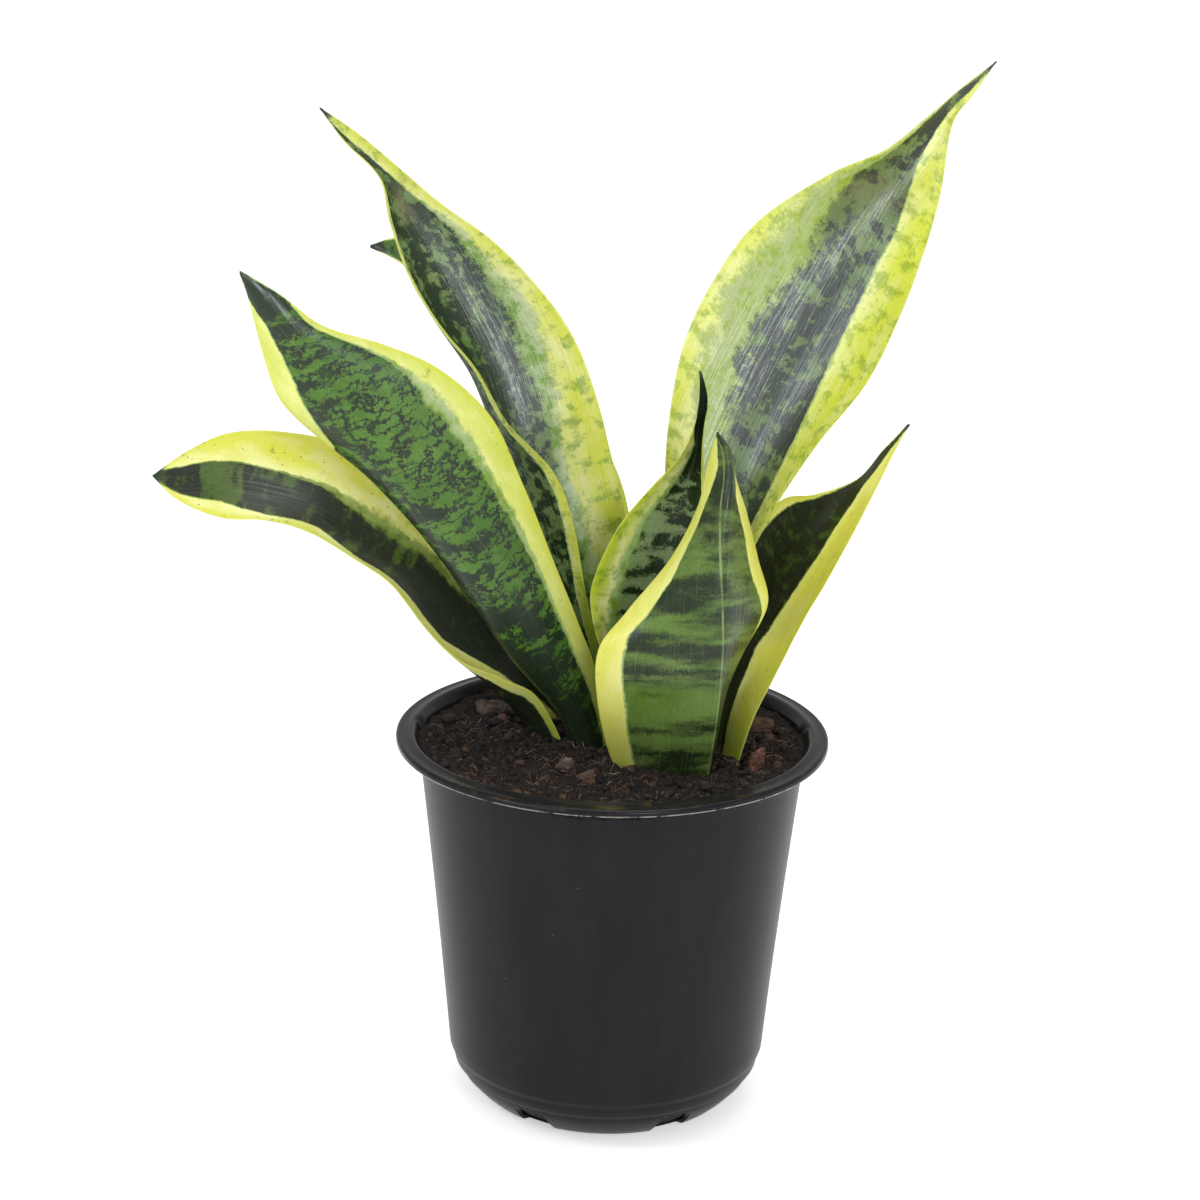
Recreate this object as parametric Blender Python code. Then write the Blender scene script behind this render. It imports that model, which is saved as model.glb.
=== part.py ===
"""Potted snake plant: a thin plastic nursery pot, its soil, eight leaves and loose bark chips.

Metres, +Z up. The origin is the centre of the pot's underside. The front is -Y.
"""

import math

import bmesh
import bpy
from mathutils import Matrix, Vector

MM = 0.001

# Overall sizes
POT_HEIGHT = 148 * MM
MOUTH_RADIUS = 74.0 * MM  # outside of the wall, just under the rim
PLANT_SCALE = 1.0  # the leaves, about the middle of the soil's surface
CLEARANCE = 0.3 * MM  # between pieces that touch

# Pot
POT_WALL = 1.3 * MM
RIM_WIDTH = 8.5 * MM  # how far the rim stands out from the wall
RIM_LIP = 3.2 * MM  # how far the rim's outer edge turns down
FLARE_START = 10 * MM  # below the rim's top, where the inside starts to widen
FLARE_END = 5 * MM  # below the rim's top
FLARE_INSET = 0.8 * MM  # how far inside the mouth radius the flare ends
WALL_TAPER = 12.8 * MM  # from the mouth in to the ring near the foot
FOOT_INSET = 19.2 * MM  # from that ring in to the flat underside
RING_HEIGHT = 19.6 * MM
STEP_HEIGHT = 13.4 * MM
RIM_RADIUS = MOUTH_RADIUS + RIM_WIDTH
RING_RADIUS = MOUTH_RADIUS - WALL_TAPER
FOOT_RADIUS = RING_RADIUS - FOOT_INSET
DRAIN_COUNT = 6
DRAIN_WIDTH = 14 * MM
DRAIN_HEIGHT = 3.6 * MM
DRAIN_START = math.radians(-61)
DRAIN_DEPTH = 16 * MM  # along the radius, right through the corner
DRAIN_RADIUS = FOOT_RADIUS + 9.5 * MM
POT_STEPS = 72

# Soil
SOIL_BELOW_RIM = 5.5 * MM  # at the wall
SOIL_DIP = 1.5 * MM  # how much lower the middle is
SOIL_MIDDLE = POT_HEIGHT - SOIL_BELOW_RIM - SOIL_DIP
SOIL_STEPS = 48

# Leaves
LEAF_THICKNESS = 2.4 * MM
LEAF_EDGE = 1.0 * MM
LEAF_RINGS = 26
LEAF_CELLS = 8  # across the blade
POCKET_RINGS = 11  # rings of a leaf that its pocket in the soil follows

# Each leaf from foot to tip. A row is the left edge, the midrib and the right edge, in
# millimetres from the middle of the soil's surface, left and right as seen from the front.
LEAF_ROWS = {
    "leaf_front_left": (
        ((-9, 15, -23), (-7, 8, -23), (1, 8, -23)),
        ((-11, 16, -11), (-9, 5, -11), (1, 6, -11)),
        ((-24, 15, 15), (-17, 2, 14), (-6, 4, 27)),
        ((-40, 12, 35), (-31, -4, 35), (-14, 2, 50)),
        ((-57, 9, 60), (-44, -10, 59), (-24, -1, 76)),
        ((-74, 4, 85), (-59, -15, 85), (-35, -5, 105)),
        ((-93, -2, 107), (-74, -20, 109), (-47, -10, 132)),
        ((-113, -10, 125), (-89, -23, 130), (-65, -14, 150)),
        ((-124, -18, 140), (-104, -26, 149), (-85, -18, 160)),
        ((-130, -22, 161), (-118, -28, 165), (-107, -24, 168)),
        ((-133, -26, 176), (-128, -29, 178), (-122, -27, 180)),
        ((-136, -30, 188), (-136, -30, 188), (-136, -30, 189)),
    ),
    "leaf_low_left": (
        ((-15, 15, -23), (-20, 20, -23), (-13, 25, -23)),
        ((-16, 12, -11), (-24, 21, -11), (-14, 29, -11)),
        ((-28, 7, 16), (-35, 20, 5), (-24, 32, 7)),
        ((-41, 4, 25), (-42, 17, 15), (-32, 33, 20)),
        ((-58, 1, 33), (-51, 15, 28), (-40, 34, 34)),
        ((-70, -1, 45), (-63, 14, 44), (-53, 34, 54)),
        ((-84, -4, 65), (-77, 14, 63), (-68, 34, 76)),
        ((-99, -6, 76), (-93, 13, 78), (-83, 32, 94)),
        ((-115, -8, 86), (-110, 12, 91), (-104, 30, 109)),
        ((-130, -8, 90), (-129, 10, 98), (-126, 26, 115)),
        ((-147, -6, 90), (-147, 8, 102), (-146, 20, 116)),
        ((-163, -2, 95), (-163, 6, 102), (-161, 12, 111)),
        ((-174, 4, 103), (-174, 4, 103), (-174, 4, 103)),
    ),
    "leaf_back_left": (
        ((4, 14, -23), (3, 20, -23), (10, 20, -23)),
        ((2, 17, 0), (-3, 28, 0), (10, 31, 0)),
        ((-10, 16, 51), (-23, 34, 44), (8, 44, 48)),
        ((-16, 14, 83), (-32, 38, 75), (3, 48, 81)),
        ((-24, 16, 104), (-38, 42, 95), (-3, 50, 104)),
        ((-42, 20, 122), (-43, 46, 114), (-8, 50, 123)),
        ((-54, 26, 141), (-50, 51, 134), (-16, 53, 144)),
        ((-68, 32, 156), (-60, 55, 153), (-28, 56, 162)),
        ((-80, 42, 172), (-72, 60, 174), (-48, 60, 182)),
        ((-88, 54, 190), (-83, 65, 191), (-69, 64, 196)),
        ((-93, 64, 206), (-91, 70, 205), (-85, 70, 208)),
        ((-107, 72, 218), (-105, 75, 218), (-102, 74, 221)),
        ((-117, 78, 230), (-117, 78, 230), (-117, 78, 230)),
    ),
    "leaf_hidden_left": (
        ((12, 30, -23), (14, 32, -23), (18, 34, -23)),
        ((3, 43, 0), (9, 48, 0), (16, 50, 0)),
        ((-7, 53, 30), (2, 60, 28), (14, 63, 32)),
        ((-14, 60, 49), (-4, 68, 47), (8, 74, 56)),
        ((-20, 64, 67), (-9, 74, 66), (3, 84, 78)),
        ((-28, 68, 88), (-18, 78, 88), (-6, 87, 98)),
        ((-38, 72, 108), (-29, 82, 109), (-18, 89, 116)),
        ((-49, 76, 126), (-42, 85, 130), (-33, 91, 137)),
        ((-61, 80, 142), (-57, 88, 148), (-51, 93, 156)),
        ((-74, 84, 157), (-73, 91, 162), (-69, 96, 170)),
        ((-86, 90, 167), (-88, 94, 171), (-87, 98, 176)),
        ((-99, 96, 172), (-99, 96, 173), (-99, 96, 173)),
    ),
    "leaf_back_right": (
        ((23, 18, -23), (28, 20, -23), (31, 12, -23)),
        ((20, 22, 0), (31, 25, 0), (36, 11, 0)),
        ((20, 24, 19), (32, 28, 19), (37, 11, 19)),
        ((17, 30, 52), (33, 34, 45), (43, 10, 54)),
        ((18, 38, 84), (40, 40, 71), (53, 10, 80)),
        ((19, 46, 113), (50, 46, 96), (62, 14, 97)),
        ((24, 56, 143), (61, 56, 120), (77, 24, 117)),
        ((35, 63, 168), (73, 64, 143), (94, 34, 137)),
        ((52, 68, 191), (86, 72, 167), (106, 44, 160)),
        ((78, 70, 209), (99, 80, 192), (116, 62, 182)),
        ((101, 74, 219), (110, 86, 211), (123, 80, 202)),
        ((119, 84, 232), (123, 91, 229), (127, 90, 226)),
        ((132, 92, 242), (134, 95, 240), (135, 95, 237)),
        ((144, 98, 250), (144, 98, 250), (144, 98, 250)),
    ),
    "leaf_young_centre": (
        ((14, 5, -23), (18, 6, -23), (23, 3, -23)),
        ((8, 5, 0), (18, 9, 0), (28, 2, 0)),
        ((6, 5, 9), (18, 10, 9), (29, 2, 9)),
        ((-4, 4, 34), (11, 12, 26), (25, 0, 24)),
        ((-9, 5, 53), (12, 14, 46), (30, 0, 44)),
        ((-8, 6, 66), (15, 16, 64), (34, 2, 63)),
        ((1, 8, 86), (20, 18, 82), (36, 4, 82)),
        ((13, 10, 101), (25, 19, 97), (33, 7, 99)),
        ((23, 12, 112), (29, 20, 110), (32, 11, 111)),
        ((28, 15, 122), (30, 21, 120), (32, 15, 122)),
        ((30, 18, 132), (32, 22, 132), (33, 18, 133)),
        ((30, 22, 142), (30, 22, 143), (31, 22, 142)),
    ),
    "leaf_front_centre": (
        ((16, -11, -23), (30, -14, -23), (32, -6, -23)),
        ((9, -12, -11), (34, -19, -11), (36, -3, -11)),
        ((0, -17, 1), (36, -26, 7), (37, -1, 2)),
        ((-6, -26, 28), (38, -31, 29), (41, -2, 22)),
        ((-6, -26, 48), (39, -35, 50), (49, -7, 43)),
        ((4, -20, 61), (39, -36, 68), (57, -10, 62)),
        ((20, -14, 80), (39, -34, 86), (53, -6, 78)),
        ((29, -12, 98), (40, -31, 104), (48, -10, 97)),
        ((32, -13, 112), (41, -27, 115), (43, -12, 112)),
        ((34, -14, 122), (40, -22, 124), (41, -14, 122)),
        ((36, -14, 129), (36, -14, 129), (36, -14, 129)),
    ),
    "leaf_right": (
        ((39, 2, -23), (41, -3, -23), (43, -9, -23)),
        ((40, 8, 0), (44, -2, 0), (48, -13, 0)),
        ((41, 12, 18), (46, 1, 18), (53, -14, 18)),
        ((44, 18, 38), (51, 8, 38), (61, -13, 36)),
        ((45, 25, 56), (56, 13, 45), (70, -11, 55)),
        ((53, 29, 77), (64, 17, 59), (78, -8, 69)),
        ((63, 30, 91), (76, 19, 77), (86, -4, 84)),
        ((76, 25, 95), (86, 18, 90), (93, 1, 97)),
        ((91, 20, 103), (94, 15, 103), (99, 6, 108)),
        ((100, 15, 116), (101, 13, 116), (104, 9, 118)),
        ((108, 14, 126), (109, 14, 126), (109, 14, 126)),
    ),
}

# Colour of each leaf's green: the older outer leaves are darker.
LEAF_GREENS = {
    "leaf_front_left": (0.085, 0.190, 0.055),
    "leaf_low_left": (0.070, 0.110, 0.045),
    "leaf_back_left": (0.180, 0.280, 0.080),
    "leaf_hidden_left": (0.160, 0.250, 0.070),
    "leaf_back_right": (0.200, 0.300, 0.080),
    "leaf_young_centre": (0.110, 0.220, 0.070),
    "leaf_front_centre": (0.090, 0.180, 0.055),
    "leaf_right": (0.060, 0.090, 0.040),
}

# Bark chips: name, bearing from +X (degrees), place between the middle (0) and the wall (1),
# length, width, height (mm), turn, tilt along the chip and lean across it (degrees)
CHIPS = (
    ("chip_flat_left", 141, 0.83, 15, 8, 3.2, 10, 6, 32),
    ("chip_front_left", 235, 0.41, 8, 7, 5.5, 35, 0, 0),
    ("chip_front", 255.5, 0.51, 8, 6, 5.0, -20, 0, 0),
    ("chip_red_right", -21.5, 0.8, 7, 5, 11, 20, 8, 0),
    ("chip_large_right", 21, 0.84, 14, 9, 5.5, -12, 6, 12),
    ("chip_back", 104, 0.86, 13, 8, 4.5, 30, 0, 0),
)


def material(name, colour, roughness):
    """A plain Principled material."""
    made = bpy.data.materials.new(name)
    made.use_nodes = True
    shader = made.node_tree.nodes["Principled BSDF"]
    shader.inputs["Base Color"].default_value = (*colour, 1.0)
    shader.inputs["Roughness"].default_value = roughness
    shader.inputs["Metallic"].default_value = 0.0
    return made


def add_object(name, mesh, made_of, smooth=True):
    """Puts a mesh in the scene under its own name."""
    body = bpy.data.objects.new(name, mesh)
    bpy.context.scene.collection.objects.link(body)
    mesh.materials.append(made_of)
    for face in mesh.polygons:
        face.use_smooth = smooth
    return body


def mesh_from(name, points, faces):
    """A closed mesh with its faces turned outwards."""
    mesh = bpy.data.meshes.new(name)
    mesh.from_pydata([tuple(p) for p in points], [], faces)
    shape = bmesh.new()
    shape.from_mesh(mesh)
    bmesh.ops.recalc_face_normals(shape, faces=shape.faces)
    shape.to_mesh(mesh)
    shape.free()
    return mesh


def turned(name, profile, steps):
    """A solid turned about Z from a closed outline of (radius, height); radius 0 is a pole."""
    points = []
    rings = []
    for radius, height in profile:
        if radius < 1e-9:
            rings.append([len(points)] * steps)
            points.append((0.0, 0.0, height))
            continue
        rings.append(list(range(len(points), len(points) + steps)))
        for i in range(steps):
            angle = 2 * math.pi * i / steps
            points.append((radius * math.cos(angle), radius * math.sin(angle), height))
    faces = []
    for low, high in zip(rings, rings[1:] + rings[:1]):
        for i in range(steps):
            j = (i + 1) % steps
            corners = [low[i], low[j], high[j], high[i]]
            face = [c for n, c in enumerate(corners) if c not in corners[:n]]
            if len(face) > 2:
                faces.append(face)
    return mesh_from(name, points, faces)


def cut(body, tool):
    """Takes the tool's shape away from the body."""
    tool.hide_render = True
    tool.display_type = "WIRE"
    step = body.modifiers.new("cut_" + tool.name, "BOOLEAN")
    step.operation = "DIFFERENCE"
    step.solver = "EXACT"
    step.object = tool


# ---------------------------------------------------------------- pot


def pot_outside(height):
    """Outer radius of the pot's wall, which widens a little faster towards the mouth."""
    share = (height - RING_HEIGHT) / (POT_HEIGHT - RIM_LIP - RING_HEIGHT)
    return RING_RADIUS + WALL_TAPER * (0.86 * share + 0.14 * share * share)


def wall_heights(count):
    """Evenly spaced heights on the straight part of the wall, from the ring up to the flare."""
    low = RING_HEIGHT + 10 * MM
    high = POT_HEIGHT - FLARE_START
    return [low + (high - low) * i / (count - 1) for i in range(count)]


def pot_inside(height):
    """Inner radius of the wall, which flares just below the rim."""
    flare_start = POT_HEIGHT - FLARE_START
    straight = pot_outside(min(height, flare_start)) - POT_WALL
    share = min(1.0, max(0.0, (height - flare_start) / (FLARE_START - FLARE_END)))
    return straight + share * (MOUTH_RADIUS - FLARE_INSET - straight)


def pot_profile():
    """Closed outline of the pot, from the middle of the floor round the outside and back inside."""
    out = [
        (0.0, 0.0),
        (FOOT_RADIUS, 0.0),
        (FOOT_RADIUS + 7 * MM, 2.2 * MM),
        (RING_RADIUS - 5 * MM, STEP_HEIGHT - 3.9 * MM),
        (RING_RADIUS - 3.3 * MM, STEP_HEIGHT - 0.4 * MM),
        (RING_RADIUS - 1.9 * MM, STEP_HEIGHT + 0.5 * MM),
        (RING_RADIUS - 1.0 * MM, RING_HEIGHT - 1.2 * MM),
        (RING_RADIUS - 0.1 * MM, RING_HEIGHT),
    ]
    for height in wall_heights(4):
        out.append((pot_outside(height), height))
    out += [
        (MOUTH_RADIUS + 0.5 * MM, POT_HEIGHT - 5.2 * MM),
        (MOUTH_RADIUS + 1.6 * MM, POT_HEIGHT - POT_WALL - 1.6 * MM),
        (MOUTH_RADIUS + 2.8 * MM, POT_HEIGHT - POT_WALL - 0.7 * MM),
        (RIM_RADIUS - 2.0 * MM, POT_HEIGHT - POT_WALL - 1.0 * MM),
        (RIM_RADIUS - 1.1 * MM, POT_HEIGHT - RIM_LIP),
        (RIM_RADIUS, POT_HEIGHT - RIM_LIP),
        (RIM_RADIUS, POT_HEIGHT - 1.6 * MM),
        (RIM_RADIUS - 1.0 * MM, POT_HEIGHT - 0.5 * MM),
        (MOUTH_RADIUS + 2.8 * MM, POT_HEIGHT),
        (MOUTH_RADIUS + 1.4 * MM, POT_HEIGHT - 0.6 * MM),
        (MOUTH_RADIUS + 0.3 * MM, POT_HEIGHT - 2.2 * MM),
        (pot_inside(POT_HEIGHT - FLARE_END), POT_HEIGHT - FLARE_END),
    ]
    for height in reversed(wall_heights(3)):
        out.append((pot_inside(height), height))
    out += [
        (RING_RADIUS - POT_WALL - 0.8 * MM, RING_HEIGHT + 0.8 * MM),
        (RING_RADIUS - POT_WALL - 3.6 * MM, STEP_HEIGHT + 1.2 * MM),
        (RING_RADIUS - POT_WALL - 5.4 * MM, STEP_HEIGHT - 3.4 * MM),
        (FOOT_RADIUS + 6.4 * MM, 2.2 * MM + POT_WALL),
        (FOOT_RADIUS - 0.4 * MM, POT_WALL),
        (0.0, POT_WALL),
    ]
    return out


def build_pot():
    plastic = material("black_plastic", (0.020, 0.021, 0.023), 0.42)
    pot = add_object("pot", turned("pot", pot_profile(), POT_STEPS), plastic)
    # The drain slots are cut through the sloping corner between the floor and the wall.
    for number in range(DRAIN_COUNT):
        angle = DRAIN_START + 2 * math.pi * number / DRAIN_COUNT
        shape = bmesh.new()
        bmesh.ops.create_cube(shape, size=1.0)
        size = Matrix.Diagonal((DRAIN_DEPTH, DRAIN_WIDTH, 2 * DRAIN_HEIGHT, 1.0))
        bmesh.ops.transform(shape, matrix=size, verts=shape.verts)
        mesh = bpy.data.meshes.new("drain_cutter")
        shape.to_mesh(mesh)
        shape.free()
        tool = add_object(f"drain_cutter_{number}", mesh, plastic, smooth=False)
        tool.matrix_world = (
            Matrix.Rotation(angle, 4, "Z")
            @ Matrix.Translation((DRAIN_RADIUS, 0, DRAIN_HEIGHT + 0.7 * MM))
            @ Matrix.Rotation(math.radians(-28), 4, "Y")
        )
        cut(pot, tool)
    return pot


# ---------------------------------------------------------------- leaves


def smooth_row(rows, place):
    """The (left, midrib, right) points at a place along the rows, on a Catmull-Rom curve."""
    last = len(rows) - 1
    first = min(int(place), last - 1)
    t = place - first
    picked = [rows[max(0, min(last, first + k))] for k in (-1, 0, 1, 2)]
    found = []
    for a, b, c, d in zip(*picked):
        before = (c - a) / 2
        after = (d - b) / 2
        found.append(
            b * (2 * t**3 - 3 * t**2 + 1)
            + before * (t**3 - 2 * t**2 + t)
            + c * (3 * t**2 - 2 * t**3)
            + after * (t**3 - t**2)
        )
    return found


def leaf_rows(name):
    """The leaf's rows in metres, standing on the soil."""
    base = Vector((0, 0, SOIL_MIDDLE))
    rows = []
    for row in LEAF_ROWS[name]:
        rows.append([base + Vector(point) * MM * PLANT_SCALE for point in row])
    return rows


def leaf_mesh(name, thickness, edge, grow=0.0, rings_kept=LEAF_RINGS):
    """A blade between its two edges, bowed through the midrib, closed at foot and tip.

    grow pushes the edges and the foot outwards, for the pocket the soil keeps round a leaf.
    rings_kept stops the blade part of the way up.
    """
    rows = leaf_rows(name)
    rings = []
    for i in range(rings_kept + 1):
        place = (len(rows) - 1) * i / LEAF_RINGS
        left, middle, right = smooth_row(rows, place)
        ahead = smooth_row(rows, min(place + 0.05, len(rows) - 1))[1]
        behind = smooth_row(rows, max(place - 0.05, 0))[1]
        along = (ahead - behind).normalized()
        if i == 0:
            left, middle, right = (p - along * grow for p in (left, middle, right))
        narrow = 0.8 * MM - (right - left).length / 2
        if narrow > 0:
            side = (right - left).normalized()
            left = left - side * narrow
            right = right + side * narrow
        half = (right - left) / 2
        bow = (left + right) / 2 - middle
        front = []
        back = []
        for j in range(LEAF_CELLS + 1):
            v = math.sin(math.pi / 2 * (2 * j / LEAF_CELLS - 1))
            point = middle + half * v + bow * v * v
            across = (half + bow * 2 * v).normalized()
            out = across.cross(along).normalized()
            point = point + across * grow * v
            flat = min(1.0, 0.35 + 0.65 * half.length / (9 * MM))
            thick = (edge + (thickness - edge) * (1 - v * v)) * flat
            thick = thick + 2 * grow
            front.append(point + out * thick / 2)
            back.append(point - out * thick / 2)
        rings.append(front + back[::-1])
    points = [point for ring in rings for point in ring]
    size = len(rings[0])
    faces = []
    for r in range(len(rings) - 1):
        for k in range(size):
            n = (k + 1) % size
            a = r * size
            b = a + size
            faces.append((a + k, a + n, b + n, b + k))
    last = (len(rings) - 1) * size
    for j in range(LEAF_CELLS):
        k = size - 1 - j
        faces.append((j, k, k - 1, j + 1))
        faces.append((last + j, last + j + 1, last + k - 1, last + k))
    return mesh_from(name, points, faces)


def build_leaves():
    leaves = []
    for name in LEAF_ROWS:
        green = material(name + "_green", LEAF_GREENS[name], 0.38)
        mesh = leaf_mesh(name, LEAF_THICKNESS, LEAF_EDGE)
        leaves.append(add_object(name, mesh, green))
    return leaves


# ---------------------------------------------------------------- soil and chips


def soil_radius():
    """Radius of the soil's surface, just inside the wall."""
    return pot_inside(POT_HEIGHT - SOIL_BELOW_RIM) - CLEARANCE


def soil_height(radius):
    """Height of the soil's surface: a shallow dish, highest at the wall."""
    share = min(1.0, radius / soil_radius())
    return SOIL_MIDDLE + SOIL_DIP * share**3


def soil_profile():
    """Closed outline of the soil, filling the pot to its surface."""
    gap = CLEARANCE + POT_WALL
    out = [
        (0.0, gap),
        (FOOT_RADIUS - 0.8 * MM, gap),
        (FOOT_RADIUS + 5.8 * MM, 2.6 * MM + gap),
        (RING_RADIUS - gap - 5.7 * MM, STEP_HEIGHT - 2.9 * MM),
        (RING_RADIUS - gap - 3.9 * MM, STEP_HEIGHT + 1.6 * MM),
        (RING_RADIUS - gap - 1.1 * MM, RING_HEIGHT + 1.4 * MM),
    ]
    surface = POT_HEIGHT - SOIL_BELOW_RIM
    for height in [h for h in wall_heights(3) if h < surface - 1 * MM] + [surface]:
        out.append((pot_inside(height) - CLEARANCE, height))
    for share in (0.92, 0.8, 0.65, 0.5, 0.33, 0.17, 0.0):
        radius = soil_radius() * share
        out.append((radius, soil_height(radius)))
    return out


def chip_mesh(name, length, width, height, grow=0.0):
    """A worn chip of bark: a box with cut corners and a tapering end."""
    shape = bmesh.new()
    bmesh.ops.create_icosphere(shape, subdivisions=2, radius=0.5)
    for vertex in shape.verts:
        p = vertex.co
        p.x, p.y, p.z = (math.copysign(abs(2 * c) ** 0.62 / 2, c) for c in p)
        p.y *= 1 - 0.45 * p.x
        p.z *= 1 + 0.35 * math.sin(5 * p.x + 2 * p.y)
        p.x *= length * MM + 2 * grow
        p.y *= width * MM + 2 * grow
        p.z *= height * MM + 2 * grow
    mesh = bpy.data.meshes.new(name)
    shape.to_mesh(mesh)
    shape.free()
    return mesh


def chip_place(bearing, outward, height, turn, tilt, lean):
    """Where a chip lies, with its lower third pressed into the soil."""
    radius = soil_radius() * outward
    z = soil_height(radius) + height * MM / 6
    return (
        Matrix.Rotation(math.radians(bearing), 4, "Z")
        @ Matrix.Translation((radius, 0, z))
        @ Matrix.Rotation(math.radians(turn - bearing), 4, "Z")
        @ Matrix.Rotation(math.radians(tilt), 4, "Y")
        @ Matrix.Rotation(math.radians(lean), 4, "X")
    )


def build_soil():
    peat = material("dark_peat", (0.045, 0.030, 0.022), 0.95)
    bark = material("bark", (0.110, 0.065, 0.042), 0.85)
    soil = add_object("soil", turned("soil", soil_profile(), SOIL_STEPS), peat)
    for name in LEAF_ROWS:
        pocket = leaf_mesh(name, LEAF_THICKNESS, LEAF_EDGE, CLEARANCE, POCKET_RINGS)
        cut(soil, add_object("pocket_" + name, pocket, peat))
    for name, bearing, outward, length, width, height, turn, tilt, lean in CHIPS:
        place = chip_place(bearing, outward, height, turn, tilt, lean)
        bed = add_object("bed_" + name, chip_mesh(name, length, width, height, CLEARANCE), peat)
        bed.matrix_world = place
        cut(soil, bed)
        chip = add_object(name, chip_mesh(name, length, width, height), bark, smooth=False)
        chip.matrix_world = place
    return soil


def main():
    for old in list(bpy.data.objects):
        bpy.data.objects.remove(old)
    build_pot()
    build_soil()
    build_leaves()


main()
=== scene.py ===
"""Looks for the potted snake plant: fine leaves, soil, bark and a thin plastic pot round the CAD frame."""

import math
import random

import bmesh
import bpy
import numpy as np
from mathutils import Matrix, Vector, noise


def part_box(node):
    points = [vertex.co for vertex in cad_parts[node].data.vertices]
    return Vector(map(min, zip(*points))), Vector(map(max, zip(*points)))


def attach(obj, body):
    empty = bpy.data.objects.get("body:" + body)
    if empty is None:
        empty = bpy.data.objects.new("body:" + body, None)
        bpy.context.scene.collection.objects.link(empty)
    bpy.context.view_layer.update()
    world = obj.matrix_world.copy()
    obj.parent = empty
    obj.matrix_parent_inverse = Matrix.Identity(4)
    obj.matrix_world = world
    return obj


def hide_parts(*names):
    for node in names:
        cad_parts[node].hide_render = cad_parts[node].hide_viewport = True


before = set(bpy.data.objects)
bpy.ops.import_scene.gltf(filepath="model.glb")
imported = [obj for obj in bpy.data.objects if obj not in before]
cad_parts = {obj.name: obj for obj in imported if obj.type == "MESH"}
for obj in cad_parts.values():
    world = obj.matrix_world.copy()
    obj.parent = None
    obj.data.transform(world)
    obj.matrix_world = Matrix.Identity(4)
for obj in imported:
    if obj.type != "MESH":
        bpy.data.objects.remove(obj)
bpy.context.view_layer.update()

MM = 0.001
SOIL_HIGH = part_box("soil")[1]
POT_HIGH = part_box("pot")[1]
SOIL_DIP = 1.5 * MM  # how much lower the soil is in the middle than at the wall
SOIL_EDGE = SOIL_HIGH.z
SOIL_MIDDLE = SOIL_EDGE - SOIL_DIP
SOIL_RADIUS = SOIL_HIGH.x
POT_TOP = POT_HIGH.z
RIM_RADIUS = POT_HIGH.x

# ---------------------------------------------------------------- leaves: shape

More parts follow.
